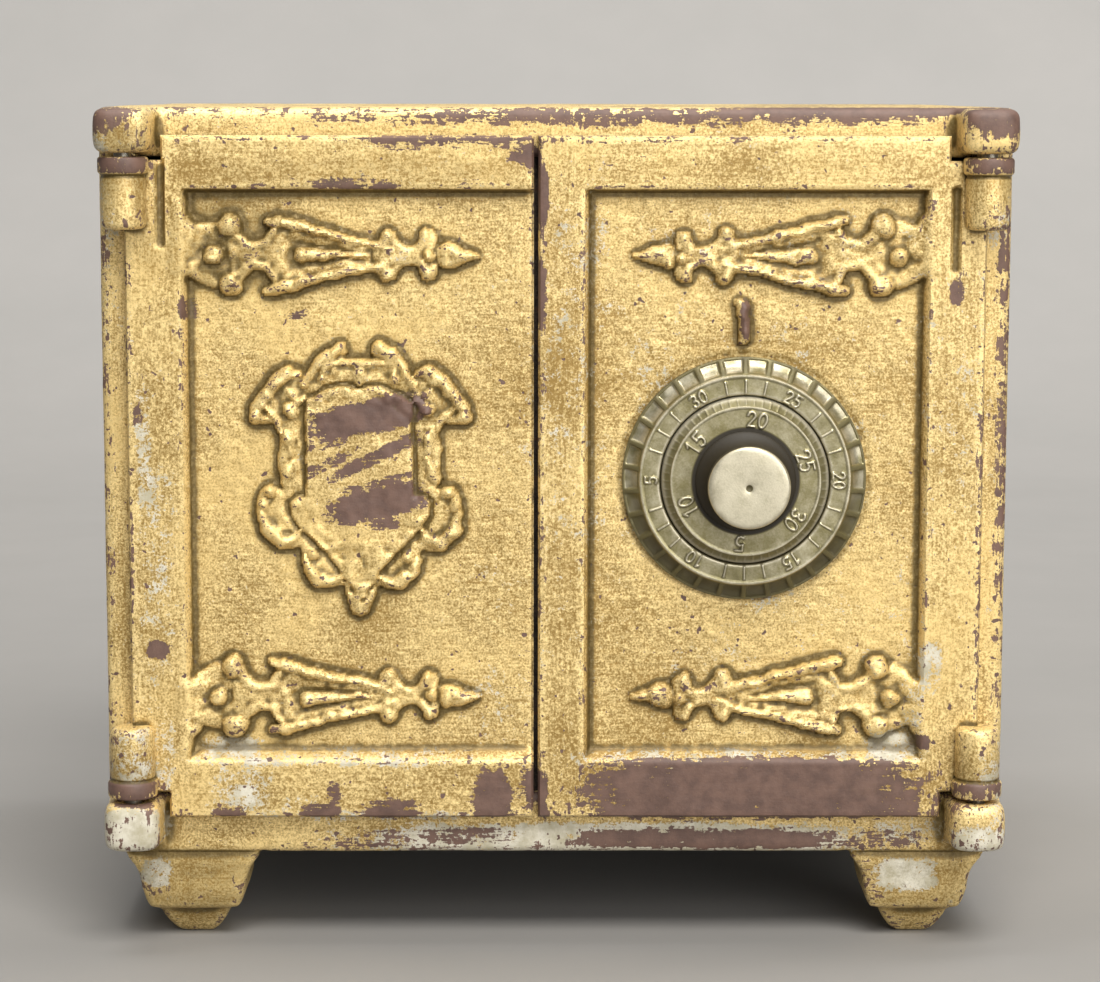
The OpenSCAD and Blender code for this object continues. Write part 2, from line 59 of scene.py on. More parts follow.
def middle_mm(node, axis):
    """Middle of a CAD node along an axis."""
    return float(sum(corner[axis] for corner in box_mm(node)) / 2)


side_low, side_high = box_mm("right_side_panel")
SIDE_X = side_high[0]
FRONT_Y, BACK_Y = side_low[1], side_high[1]
BASE_Z, ROOF_Z = side_low[2], side_high[2]
TOP_Z = box_mm("top_plate")[1][2]
GAP_X = box_mm("left_door")[1][0]  # free edge of the left door
GAP_X1 = box_mm("right_door")[0][0]  # free edge of the right door
DIAL_X, DIAL_Z = middle_mm("spindle", 0), middle_mm("spindle", 2)
PIN_X, PIN_Y = middle_mm("right_upper_pin", 0), middle_mm("right_upper_pin", 1)
PIN_R = float(box_mm("right_upper_pin")[1][0] - PIN_X)
POST_Y = box_mm("lock_post")[0][1]
BUTTON_X = middle_mm("turn_button", 0)
BUTTON_Z = box_mm("button_washer")[0][2] + 4
KNOB_Y = box_mm("knob")[0][1]
FACE_Y = FRONT_Y - 3.3  # plane of the door faces
FLOOR_DEPTH = 2.5  # depth of the sunk panels
DOOR_T = 3.0  # door plate
DOOR_BACK = 5.2  # door plate with its inner part
EDGE_X = SIDE_X - 4.9  # outer edges of the doors
STILE_X = EDGE_X - 10.2  # outer edges of the sunk panels
DOOR_Z0, DOOR_Z1 = BASE_Z + 1.4, ROOF_Z + 0.1
PANEL_Z0, PANEL_Z1 = DOOR_Z0 + 10.2, DOOR_Z1 - 9.4
NOTCH_X = SIDE_X - 11.7
NOTCH_Z0, NOTCH_Z1 = BASE_Z + 6.2, ROOF_Z - 4.4
KNUCKLE_H, KNUCKLE_R = 13.0, 4.1
KNUCKLE_Z0 = BASE_Z + 5.9  # foot of the lower knuckles
KNUCKLE_Z1 = ROOF_Z - 3.7  # head of the upper knuckles
INNER_X = SIDE_X - 8.7  # outer edge of a door's inner part
SEAM_Y = FACE_Y + DOOR_T  # where face and inner part of a door join
INNER_STILE = 8.2  # width of the right door's inner stile
SHIELD_X = -35.8  # middle of the shield
STRAP_Z = 12.3  # strap ornaments, from the ends of the panel
DIAL_SEAT_R = 22.9  # worn ring in the door, round the dials
FOOT_TOP_Z = 16.7


# -------- number helpers

def smooth(t):
    """Eases from 0 to 1 as t goes from 0 to 1."""
    t = np.clip(t, 0.0, 1.0)
    return t * t * (3 - 2 * t)


def dome(t):
    """Round shoulder: rises steeply from 0 and flattens out at 1."""
    return np.sqrt(1 - (1 - np.clip(t, 0.0, 1.0)) ** 2)


def noise_2d(a, b, size, seed):
    """Smooth noise between -1 and 1 with features of the given size."""
    table = np.random.RandomState(seed).uniform(-1, 1, (256, 256))
    u, v = np.asarray(a) / size, np.asarray(b) / size
    i, j = np.floor(u).astype(int), np.floor(v).astype(int)
    fu, fv = smooth(u - i), smooth(v - j)
    near = table[i % 256, j % 256] * (1 - fu) + table[(i + 1) % 256, j % 256] * fu
    far = table[i % 256, (j + 1) % 256] * (1 - fu) + table[(i + 1) % 256, (j + 1) % 256] * fu
    return near * (1 - fv) + far * fv


def noise_3d(co, size, seed):
    """Noise between -1 and 1 in space, made of three crossed sheets."""
    x, y, z = co[:, 0], co[:, 1], co[:, 2]
    return (noise_2d(x + 0.37 * y, z + 0.21 * y, size, seed)
            + noise_2d(y + 0.29 * x, x - 0.31 * z, size, seed + 1)
            + noise_2d(z - 0.23 * x, y + 0.41 * z, size, seed + 2)) / 1.8


def from_line(px, pz, ax, az, bx, bz):
    """Distance of each point from a straight line, and its share of the way along it."""
    ex, ez = bx - ax, bz - az
    t = np.clip(((px - ax) * ex + (pz - az) * ez) / (ex * ex + ez * ez), 0, 1)
    return np.hypot(px - ax - t * ex, pz - az - t * ez), t


def inside(px, pz, outline):
    """How deep each point lies inside a closed outline; negative outside."""
    best = np.full(px.shape, 1e9)
    within = np.zeros(px.shape, bool)
    for (ax, az), (bx, bz) in zip(outline, outline[1:] + outline[:1]):
        best = np.minimum(best, from_line(px, pz, ax, az, bx, bz)[0])
        if az != bz:
            within ^= ((az > pz) != (bz > pz)) & (px < (bx - ax) * (pz - az) / (bz - az) + ax)
    return np.where(within, best, -best)


def disc(px, pz, x, z, r):
    """How deep each point lies inside a circle."""
    return r - np.hypot(px - x, pz - z)


def ridge(px, pz, points):
    """Height of a rounded ridge along points of (x, z, half width, height)."""
    height = np.zeros(px.shape)
    for (ax, az, ar, ah), (bx, bz, br, bh) in zip(points, points[1:]):
        distance, t = from_line(px, pz, ax, az, bx, bz)
        q = distance / (ar + (br - ar) * t)
        height = np.maximum(height, (ah + (bh - ah) * t) * np.sqrt(np.clip(1 - q * q, 0, 1)))
    return height


def knob_top(px, pz, x, z, r, h):
    """Height of a round boss."""
    q = np.hypot(px - x, pz - z) / r
    return h * np.sqrt(np.clip(1 - q * q, 0, 1))


def steps(stops, size):
    """Coordinates that pass through every stop, about size apart."""
    out = [float(stops[0])]
    for a, b in zip(stops, stops[1:]):
        n = max(1, round((b - a) / size))
        out += [a + (b - a) * k / n for k in range(1, n + 1)]
    return np.array(out)


# -------- mesh helpers

def new_object(name, data):
    obj = bpy.data.objects.new(name, data)
    scene.collection.objects.link(obj)
    return obj


def mesh_object(name, verts, faces):
    """New object from vertices in millimetres."""
    mesh = bpy.data.meshes.new(name)
    mesh.from_pydata((np.asarray(verts, float) * MM).tolist(), [], faces)
    mesh.update()
    return new_object(name, mesh)


def relief_slab(name, xs, zs, front, keep, back):
    """Closed slab: front[i, j] is the y of its face at xs[i], zs[j], keep[i, j] says which
    cells are there, and back is the y of its flat far side."""
    nx, nz = len(xs), len(zs)
    index = np.arange(nx * nz).reshape(nx, nz)
    gx, gz = np.meshgrid(xs, zs, indexing="ij")
    verts = np.stack([gx.ravel(), front.ravel(), gz.ravel()], 1)
    a, b, c, d = index[:-1, :-1], index[1:, :-1], index[1:, 1:], index[:-1, 1:]
    quads = np.stack([a[keep], b[keep], c[keep], d[keep]], 1)
    pad = np.pad(keep, 1)
    middle = pad[1:-1, 1:-1]
    rim = {}
    for starts, ends, beside in ((a, b, pad[1:-1, :-2]), (b, c, pad[2:, 1:-1]),
                                 (c, d, pad[1:-1, 2:]), (d, a, pad[:-2, 1:-1])):
        edge = middle & ~beside
        rim.update(zip(starts[edge].tolist(), ends[edge].tolist()))
    loop = [next(iter(rim))]
    while rim[loop[-1]] != loop[0]:
        loop.append(rim[loop[-1]])
    far = verts[loop].copy()
    far[:, 1] = back
    behind = list(range(len(verts), len(verts) + len(loop)))
    faces = quads.tolist()
    for k in range(len(loop)):
        n = (k + 1) % len(loop)
        faces.append([loop[k], behind[k], behind[n], loop[n]])
    faces.append(behind[::-1])
    obj = mesh_object(name, np.vstack([verts, far]), faces)
    drop_loose(obj)
    return obj


def drop_loose(obj):
    """Removes vertices that no face uses."""
    bm = bmesh.new()
    bm.from_mesh(obj.data)
    bmesh.ops.delete(bm, geom=[v for v in bm.verts if not v.link_faces], context="VERTS")
    bm.to_mesh(obj.data)
    bm.free()


def lathe(name, profile, place, axis="Y", count=96, wobble=None):
    """Turns a closed profile of (radius, distance along the axis) round an axis. wobble may
    change the distance of each point: wobble(angle, radius, distance)."""
    n = len(profile)
    r, h = np.tile(np.array(profile, float), (count, 1)).T
    angle = np.repeat(2 * math.pi * np.arange(count) / count, n)
    if wobble is not None:
        h = wobble(angle, r, h)
    if axis == "Y":
        co = np.stack([r * np.sin(angle), h, r * np.cos(angle)], 1)
    else:
        co = np.stack([r * np.cos(angle), r * np.sin(angle), h], 1)
    faces = []
    for k in range(count):
        m = (k + 1) % count
        for p in range(n):
            q = (p + 1) % n
            if profile[p][0] == 0 and profile[q][0] == 0:
                continue
            faces.append([k * n + p, m * n + p, m * n + q, k * n + q])
    obj = mesh_object(name, co + np.array(place), faces)
    weld(obj)
    return obj


def weld(obj, distance=0.002):
    """Joins vertices that lie on each other and makes the faces look outwards."""
    bm = bmesh.new()
    bm.from_mesh(obj.data)
    bmesh.ops.remove_doubles(bm, verts=bm.verts, dist=distance * MM)
    bmesh.ops.dissolve_degenerate(bm, edges=bm.edges, dist=1e-7)
    bmesh.ops.recalc_face_normals(bm, faces=bm.faces)
    bm.to_mesh(obj.data)
    bm.free()


def apply_all(obj):
    """Applies every modifier of obj."""
    graph = bpy.context.evaluated_depsgraph_get()
    mesh = bpy.data.meshes.new_from_object(obj.evaluated_get(graph))
    obj.modifiers.clear()
    obj.data = mesh


def combine(obj, others, operation):
    """Joins or cuts closed solids and removes the tools."""
    for other in others:
        step = obj.modifiers.new("step", "BOOLEAN")
        step.operation = operation
        step.object = other
        step.solver = "MANIFOLD"
    apply_all(obj)
    for other in others:
        bpy.data.objects.remove(other)


def rod(place, axis, length, r, count=48):
    """Plain round bar that starts at place, for cutting holes."""
    return lathe("cutter", [(0, 0), (r, 0), (r, length), (0, length)], place, axis, count)


def triangulate(obj):
    step = obj.modifiers.new("triangles", "TRIANGULATE")
    step.min_vertices = 5
    apply_all(obj)


def read_rows(items, key, width, kind=float):
    """One property of every vertex or edge, as rows of width numbers."""
    values = np.zeros(len(items) * width, kind)
    items.foreach_get(key, values)
    return values.reshape(-1, width)


def mesh_arrays(obj):
    """Coordinates in millimetres, vertex normals and edges as arrays."""
    vertices, edges = obj.data.vertices, obj.data.edges
    return (read_rows(vertices, "co", 3) / MM, read_rows(vertices, "normal", 3),
            read_rows(edges, "vertices", 2, int))


def spread(values, edges, share, rounds):
    """Blurs values over a mesh's edges."""
    a, b = edges.T
    count = np.bincount(a, minlength=len(values)) + np.bincount(b, minlength=len(values))
    count = np.maximum(count, 1)
    for _ in range(rounds):
        if values.ndim == 1:
            total = (np.bincount(a, values[b], len(values))
                     + np.bincount(b, values[a], len(values)))
            values = values * (1 - share) + share * total / count
        else:
            values = np.stack([spread(values[:, k], edges, share, 1)
                               for k in range(values.shape[1])], 1)
    return values


def move_vertices(obj, co):
    obj.data.vertices.foreach_set("co", (co * MM).ravel())
    obj.data.update()


# -------- wear of the paint, dirt and painted shade

# Places on the front where the paint is gone down to the brown lacquer:
# x, z, half width, half height, strength, and where it leans its slope
BARE = [
    (36, 29.5, 31, 5.6, 1.05), (55, 31, 11, 3.6, 0.35), (-11.4, 28.6, 3.4, 4.6, 0.9),
    (-5, 30, 2.4, 4, 0.5), (-30, 25.8, 4.6, 2.2, 0.72), (-43.6, 25.8, 3.4, 1.6, 0.66),
    (-41, 28.6, 1.3, 2.6, 0.66), (-60, 26, 3, 1.4, 0.5), (27.5, 19.8, 24, 1.8, 0.9),
    (-17, 20.4, 8, 1.7, 0.55), (-34, 19.6, 8, 1.6, 0.42), (61, 19.6, 9, 2, 0.5),
    (-76.8, 28.6, 3.6, 0.9, 0.66), (20, 153, 55, 1.6, 0.42), (-20, 152.6, 12, 1.2, 0.4),
    (60, 154.6, 24, 1.0, 0.7), (-20, 148.4, 16, 1.4, 0.45), (-36, 141.3, 8, 1.1, 0.5),
    (-6, 146.6, 3, 2.2, 0.6), (-34.3, 98.8, 10.2, 3.1, 1.0, 0.2), (-33.2, 91.4, 8, 1.5, 0.72, 0.5),
    (-41.5, 90.4, 4, 1.3, 0.6, 0.5), (-41, 94.2, 4.5, 1.4, 0.52, 0.35),
    (-33, 82.9, 8.6, 2.9, 0.95, 0.22), (-33, 86.7, 7, 0.9, 0.6, 0.25),
    (-31.5, 79.2, 3.4, 1.2, 0.6, 0.1), (-2.4, 139, 1.2, 5, 0.75), (-2.6, 122, 1.0, 6, 0.45),
    (-2.2, 28, 1.2, 5, 0.6), (-73, 56, 2.2, 1.7, 0.95), (72.6, 121.6, 1.2, 2.4, 0.75),
    (-76, 99.6, 1.2, 2, 0.6), (67.6, 38.6, 1.8, 1.4, 0.8), (78, 31, 5, 1.4, 0.6),
    (-78, 31, 5, 1.4, 0.7), (-78, 144.6, 5, 1.4, 0.6), (79, 152.8, 5.4, 3.0, 0.62),
    (-80.5, 153, 4, 2.6, 0.5), (81.6, 110, 1.4, 40, 0.25), (79, 144.6, 5, 1.2, 0.55),
    (34.6, 117, 0.9, 3.6, 0.7), (-66.6, 118.6, 1.6, 2, 0.7), (-47, 117.6, 2, 1, 0.6),
]
# Places where it is rubbed down to the pale primer
PALE = [
    (-77.8, 23, 6.4, 4.4, 1.15), (-77.6, 37, 4.4, 5.5, 0.5), (-58, 29, 7, 5, 0.5),
    (-36, 24.4, 26, 1.6, 0.55), (-72.5, 60, 3.4, 30, 0.34), (-75, 92, 1.6, 12, 0.5),
    (-40, 35.6, 30, 1.8, 0.5), (30, 35.4, 34, 1.8, 0.5), (-10, 45, 6, 8, 0.34),
    (77.8, 21, 5.4, 3.2, 0.85), (70, 21, 10, 3, 0.5), (80, 34.6, 3.4, 2.2, 0.7),
    (11, 19.6, 46, 3.2, 1.0), (-40, 19.4, 6, 2.4, 0.4), (66, 12.6, 5.6, 3.4, 1.0),
    (-74.6, 13, 3.0, 3.0, 0.85), (-58, 28.6, 5, 2.6, 0.7), (-47, 27, 4, 2, 0.5),
    (80, 135, 2.6, 6, 0.45), (81, 33, 2.4, 8, 0.5), (-72, 37, 2.2, 8, 0.5), (63, 37.6, 6, 3, 0.75),
    (69, 53, 2.2, 5, 0.75), (-60, 37.4, 6, 1.8, 0.7), (-80.8, 130, 2.6, 16, 0.25),
    (66, 46, 2.2, 11, 0.4), (40, 65, 7, 3, 0.34), (-81.6, 150.6, 2, 4, 0.5),
    (6.6, 60, 1.2, 30, 0.3), (42, 88, 44, 50, 0.16), (3, 90, 8, 60, 0.22),
]
# Dark, greenish dirt, and painted shade: the two thin lines at z 16.6 are painted shade in the
# crease over the feet, and the two bands at z 143 are painted shade darkening the top rails
GRIME_AND_SHADE = [
    (-60, 131, 12, 9, 0.35), (-77.6, 149.4, 5.6, 2.4, 0.5), (81, 90, 2, 50, 0.18),
    (-81, 90, 2.6, 58, 0.24), (-68, 10, 14, 9, 0.42), (68, 10, 14, 9, 0.36),
    # the bands at z 143 are painted shade on the top rails
    (-40, 143, 38, 3.4, 0.3), (40, 143, 38, 3.4, 0.2), (-73.5, 132, 2, 8, 0.3),
    (34.5, 110, 6, 5, 0.25), (-35.8, 61.4, 6, 5, 0.2), (60, 31.8, 10, 4, 0.2),
    # the thin lines at z 16.6 are painted shade in the crease over the feet
    (-67, 16.6, 14, 0.6, 0.8), (67, 16.6, 14, 0.6, 0.8),
]


def zone_sum(x, z, zones):
    """Adds up soft elliptical zones."""
    total = np.zeros(x.shape)
    for cx, cz, rx, rz, strength, *lean in zones:
        dz = z - cz - (lean[0] * (x - cx) if lean else 0)
        q = (np.abs((x - cx) / rx) ** 3 + np.abs(dz / rz) ** 3) ** (1 / 3)
        total = np.maximum(total, strength * (1 - smooth((q - 0.6) / 0.8)))
    return total


def write_layer(obj, name, values):
    """Sets a layer of numbers on obj's vertices, and makes the layer if it is new."""
    layers = obj.data.attributes
    layer = layers.get(name) or layers.new(name, "FLOAT", "POINT")
    layer.data.foreach_set("value", np.asarray(values, np.float32))


def read_layer(obj, name):
    return read_rows(obj.data.attributes[name].data, "value", 1, np.float32)[:, 0]


def weather(obj, inner=None, grime_and_shade=0.0, fronted=True):
    """Writes the wear of the paint on obj's vertices, and a dark layer that is higher in hollows and
    creases and in the listed dark zones, which hold dirt and some painted shade. near and wide
    measure how sharply and how broadly the surface bends at each of them. inner(co, normal) gives
    the share of dark lacquer, for the surfaces that were never gilded. The zones count where a
    surface looks forwards, and not at all if fronted is false."""
    co, normal, edges = mesh_arrays(obj)
    spans = np.linalg.norm(co[edges[:, 0]] - co[edges[:, 1]], axis=1)
    long_edge = np.zeros(len(co))
    for end in edges.T:
        np.maximum.at(long_edge, end, spans)
    fine = 1 - smooth((long_edge - 1.6) / 1.5)
    near = ((spread(co, edges, 0.5, 3) - co) * normal).sum(1) * fine
    wide = ((spread(co, edges, 0.5, 26) - co) * normal).sum(1) * fine
    near = spread(near, edges, 0.5, 2) / 0.05
    wide = spread(wide, edges, 0.5, 3) / 0.5
    crest_and_sheen = np.clip(-near, 0, 1) * 0.55 + np.clip(-wide, 0, 1) * 0.45
    hollow = np.clip(wide / 0.7, 0, 1)
    crease = np.clip(near - 0.25, 0, 1)
    front = smooth((-normal[:, 1] + 0.25) / 0.6) if fronted else np.zeros(len(co))
    x, z = co[:, 0], co[:, 2]
    patch = noise_3d(co, 16, 11) * 0.5 + noise_3d(co, 5, 15) * 0.5
    layers = {
        "bare": 0.33 * crest_and_sheen + (0.18 - 0.1 * front) * patch + zone_sum(x, z, BARE) * front,
        "pale": 0.08 * crest_and_sheen + 0.12 * noise_3d(co, 11, 21) + zone_sum(x, z, PALE) * front,
        # dark layer: higher in hollows and creases; the zones add dirt and some painted shade
        "grime_and_shade": grime_and_shade + 0.6 * hollow + 0.6 * crease + zone_sum(x, z, GRIME_AND_SHADE) * front,
        "crest_and_sheen": crest_and_sheen,
        "inner": inner(co, normal) if inner is not None else np.zeros(len(co)),
        "upright": smooth((np.abs(x) - 66) / 3) + smooth((5.5 - np.abs(x - 1)) / 2),
        "slant": front * smooth((13 - np.hypot(x + 35, (z - 89) * 0.9)) / 3),
    }
    for name, values in layers.items():
        write_layer(obj, name, np.clip(values, 0, 1.5))


# -------- materials

class Graph:
    """Short way to write a node material."""

    def __init__(self, name):
        self.material = bpy.data.materials.new(name)
        self.material.use_nodes = True
        self.tree = self.material.node_tree
        self.tree.nodes.clear()
        self.where = self.add("ShaderNodeTexCoord").outputs["Object"]

    def add(self, kind, inputs=None, **settings):
        node = self.tree.nodes.new(kind)
        for key, value in settings.items():
            setattr(node, key, value)
        for key, value in (inputs or {}).items():
            if isinstance(value, bpy.types.NodeSocket):
                self.tree.links.new(value, node.inputs[key])
            else:
                node.inputs[key].default_value = value
        return node

    def math(self, operation, a, b, clamp=False):
        return self.add("ShaderNodeMath", {0: a, 1: b}, operation=operation,
                        use_clamp=clamp).outputs[0]

    def times(self, a, b):
        return self.math("MULTIPLY", a, b)

    def sway(self, noise, amount):
        """Noise swinging round zero."""
        return self.times(self.math("SUBTRACT", noise, 0.5), amount)

    def total(self, *terms):
        out = terms[0]
        for term in terms[1:]:
            out = self.math("ADD", out, term)
        return out

    def attribute(self, name):
        return self.add("ShaderNodeAttribute", attribute_name=name).outputs["Fac"]

    def noise(self, size, detail=3.0, rough=0.6, stretch=(1, 1, 1), shift=0.0, turn=(0, 0, 0)):
        """Noise around 0.5 with features of size millimetres."""
        where = self.add("ShaderNodeMapping", {"Vector": self.where, "Scale": stretch,
                                               "Rotation": turn,
                                               "Location": (shift, shift, shift)})
        return self.add("ShaderNodeTexNoise",
                        {"Vector": where.outputs[0], "Scale": 1 / (size * MM),
                         "Detail": detail, "Roughness": rough}).outputs["Fac"]

    def span(self, value, low, high, out_low=0.0, out_high=1.0):
        """Maps a range smoothly onto another."""
        return self.add("ShaderNodeMapRange",
                        {"Value": value, "From Min": low, "From Max": high,
                         "To Min": out_low, "To Max": out_high},
                        interpolation_type="SMOOTHSTEP").outputs["Result"]

    def mix(self, share, a, b):
        """Mix of two colours."""
        return self.add("ShaderNodeMix", {0: share, 6: a, 7: b}, data_type="RGBA").outputs[2]

    def blend(self, share, a, b):
        """Mix of two numbers."""
        return self.add("ShaderNodeMix", {"Factor": share, "A": a, "B": b}).outputs[0]

    def finish(self, colour, roughness, metallic, bump=None, depth=0.05, specular=0.5):
        inputs = {"Base Color": colour, "Roughness": roughness, "Metallic": metallic,
                  "Specular IOR Level": specular}
        if bump is not None:
            raised = self.add("ShaderNodeBump", {"Height": bump, "Distance": depth * MM,
                                                 "Strength": 1.0})
            inputs["Normal"] = raised.outputs[0]
        shader = self.add("ShaderNodeBsdfPrincipled", inputs)
        out = self.add("ShaderNodeOutputMaterial", {"Surface": shader.outputs[0]})
        out.is_active_output = True
        return self.material


def rgb(r, g, b):
    """Linear colour from the usual 0 to 255 values."""
    def linear(c):
        c /= 255
        return c / 12.92 if c <= 0.04045 else ((c + 0.055) / 1.055) ** 2.4
    return linear(r), linear(g), linear(b), 1.0


def gilding(name):
    """Bronze powder paint over brown lacquer over a pale primer, reading the wear layers, the dark
    layer of dirt and painted shade, and the crest layer, which also paints highlights.
    """
    g = Graph(name)
    bare, pale, grime_and_shade = g.attribute("bare"), g.attribute("pale"), g.attribute("grime_and_shade")
    crest_and_sheen, inner, upright = g.attribute("crest_and_sheen"), g.attribute("inner"), g.attribute("upright")
    grain = g.noise(0.4, 3, 0.7)
    speck = g.noise(0.95, 4, 0.75, shift=0.31)
    blot = g.noise(3.2, 4, 0.65, shift=0.17)
    cloud = g.noise(26, 3, 0.55, shift=0.53)
    along = g.noise(0.45, 3, 0.6, (0.09, 1, 1), 0.71)
    standing = g.noise(0.45, 3, 0.6, (1, 1, 0.09), 0.43)
    stroke = g.blend(g.math("MINIMUM", upright, 1.0), along, standing)
    stroke = g.blend(g.attribute("slant"), stroke,
                     g.noise(0.55, 3, 0.6, (0.12, 1, 1), 0.9, (0, math.radians(24), 0)))

    # Lighter on crests, partly rubbed gold and partly painted highlight; darker where the dark layer
    # of dirt and painted shade is high
    light = g.total(g.sway(grain, 2.2), g.sway(speck, 1.2), g.sway(stroke, 0.8),
                    g.sway(cloud, 1.1), g.times(crest_and_sheen, 0.25), g.times(grime_and_shade, -0.3))
    gold = g.mix(g.span(light, -0.45, 0.5), rgb(151, 121, 62), rgb(250, 223, 157))
    gold = g.mix(g.span(cloud, 0.45, 0.7, 0.0, 0.35), gold, rgb(200, 164, 88))
    lacquer = g.mix(g.span(blot, 0.3, 0.7), rgb(88, 66, 57), rgb(110, 84, 72))
    primer = g.mix(g.span(blot, 0.3, 0.7), rgb(176, 168, 142), rgb(214, 208, 190))
    # olive dirt colour; through the dark layer it also paints the shade zones and the darkening in
    # hollows and creases
    dirt = g.mix(g.span(speck, 0.3, 0.7), rgb(62, 52, 28), rgb(104, 88, 48))
    dark = g.mix(g.span(blot, 0.3, 0.75), rgb(38, 31, 28), rgb(70, 56, 46))

    bare_share = g.span(g.total(bare, g.sway(blot, 1.5), g.sway(speck, 1.5),
                                g.sway(stroke, 1.3)), 0.47, 0.53)
    frayed = g.noise(4.1, 5, 0.7, shift=0.87)
    pale_share = g.span(g.total(pale, g.sway(frayed, 1.8), g.sway(speck, 1.8),
                                g.sway(grain, 1.3)), 0.44, 0.68)
    grime_and_shade_share = g.span(g.total(grime_and_shade, g.sway(speck, 1.0), g.sway(grain, 0.6),
                                 g.sway(cloud, 0.5)), 0.2, 0.95, 0.0, 0.8)
    spots = g.noise(1.7, 2, 0.5, shift=1.3)
    chip = g.span(g.total(g.sway(spots, 1.0), g.times(bare, 0.2)), 0.2, 0.23)

    colour = g.mix(pale_share, gold, primer)
    worn = g.math("MAXIMUM", bare_share, chip)
    colour = g.mix(worn, colour, lacquer)
    # mixes in dirt and painted shade
    colour = g.mix(grime_and_shade_share, colour, dirt)
    inner_share = g.span(g.math("ADD", inner, g.sway(blot, 0.5)), 0.42, 0.62)
    colour = g.mix(inner_share, colour, dark)

    painted = g.math("SUBTRACT", 1.0, g.math("MAXIMUM", g.math("MAXIMUM", worn, pale_share),
                                             inner_share), clamp=True)
    roughness = g.blend(painted, 0.55, g.span(grain, 0.3, 0.7, 0.38, 0.56))
    height = g.total(g.times(grain, 0.55), g.times(speck, 0.7), g.times(stroke, 0.35),
                     g.times(painted, 0.5))
    return g.finish(colour, roughness, g.times(painted, 0.42), height, 0.07)


def metal(name, bright, dull, dirt, rough, metallic):
    """Aged bare metal with its colour, stains and fine scratches."""
    g = Graph(name)
    fine = g.noise(0.5, 4, 0.65)
    stain = g.noise(3.5, 5, 0.65, shift=0.2)
    scratch = g.noise(0.25, 2, 0.5, (1, 1, 0.06), 0.6)
    colour = g.mix(g.span(g.math("ADD", fine, stain), 0.8, 1.2), rgb(*dull), rgb(*bright))
    spots = g.span(g.math("ADD", g.times(stain, 0.7), g.times(fine, 0.4)), 0.58, 0.7)
    colour = g.mix(spots, colour, rgb(*dirt))
    roughness = g.blend(g.math("MAXIMUM", spots, fine), *rough)
    shine = g.times(g.math("SUBTRACT", 1.0, spots), metallic)
    height = g.total(fine, g.times(scratch, 0.5), g.times(spots, 0.4))
    return g.finish(colour, roughness, shine, height, 0.02)


def nickel_plate(name):
    """Tarnished nickel on the dials: paler on the crests and on painted highlights, olive dirt and
    painted shade in the hollows.
    """
    g = Graph(name)
    crest_and_sheen, hollow = g.attribute("crest_and_sheen"), g.attribute("grime_and_shade")
    fine = g.noise(0.4, 4, 0.65)
    stain = g.noise(3.0, 5, 0.6, shift=0.4)
    # tone: paler on crests and on the painted highlights of the rim cells, darker with dirt and
    # painted shade
    tone = g.total(g.times(fine, 0.4), g.times(stain, 0.7), g.times(crest_and_sheen, 0.9),
                   g.times(hollow, -0.5))
    colour = g.mix(g.span(tone, 0.3, 1.05), rgb(128, 120, 82), rgb(206, 198, 174))
    # olive dirt and painted shade
    soil_and_shade = g.total(g.times(hollow, 1.1), g.times(stain, 0.5), g.times(fine, 0.2))
    soil_and_shade = g.span(soil_and_shade, 0.62, 1.15, 0.0, 0.92)
    colour = g.mix(soil_and_shade, colour, rgb(72, 64, 38))
    # near black where the dark layer is highest: painted shadow at the knob's base and on its flank
    colour = g.mix(g.span(hollow, 0.95, 1.25), colour, rgb(40, 33, 18))
    roughness = g.blend(soil_and_shade, g.span(stain, 0.3, 0.7, 0.3, 0.46), 0.62)
    shine = g.times(g.math("SUBTRACT", 1.0, soil_and_shade), 0.72)
    return g.finish(colour, roughness, shine, g.math("ADD", fine, g.times(stain, 0.5)), 0.025)


GOLD = gilding("gilded_iron")
IRON = metal("dark_iron", (96, 84, 72), (56, 47, 40), (92, 58, 34), (0.42, 0.62), 0.6)
STEEL = metal("aged_steel", (176, 172, 160), (122, 116, 104), (88, 66, 44), (0.28, 0.5), 0.9)
NICKEL = nickel_plate("tarnished_nickel")


# -------- door ornament

def mirrored(points):
    return points + [(-x, z) for x, z in points[::-1]]


def lay_over(height, px, pz, ridges, bosses=()):
    """Height with ridges and round bosses laid over it."""
    parts = [ridge(px, pz, points) for points in ridges]
    parts += [knob_top(px, pz, *boss) for boss in bosses]
    return np.maximum.reduce([height, *parts])


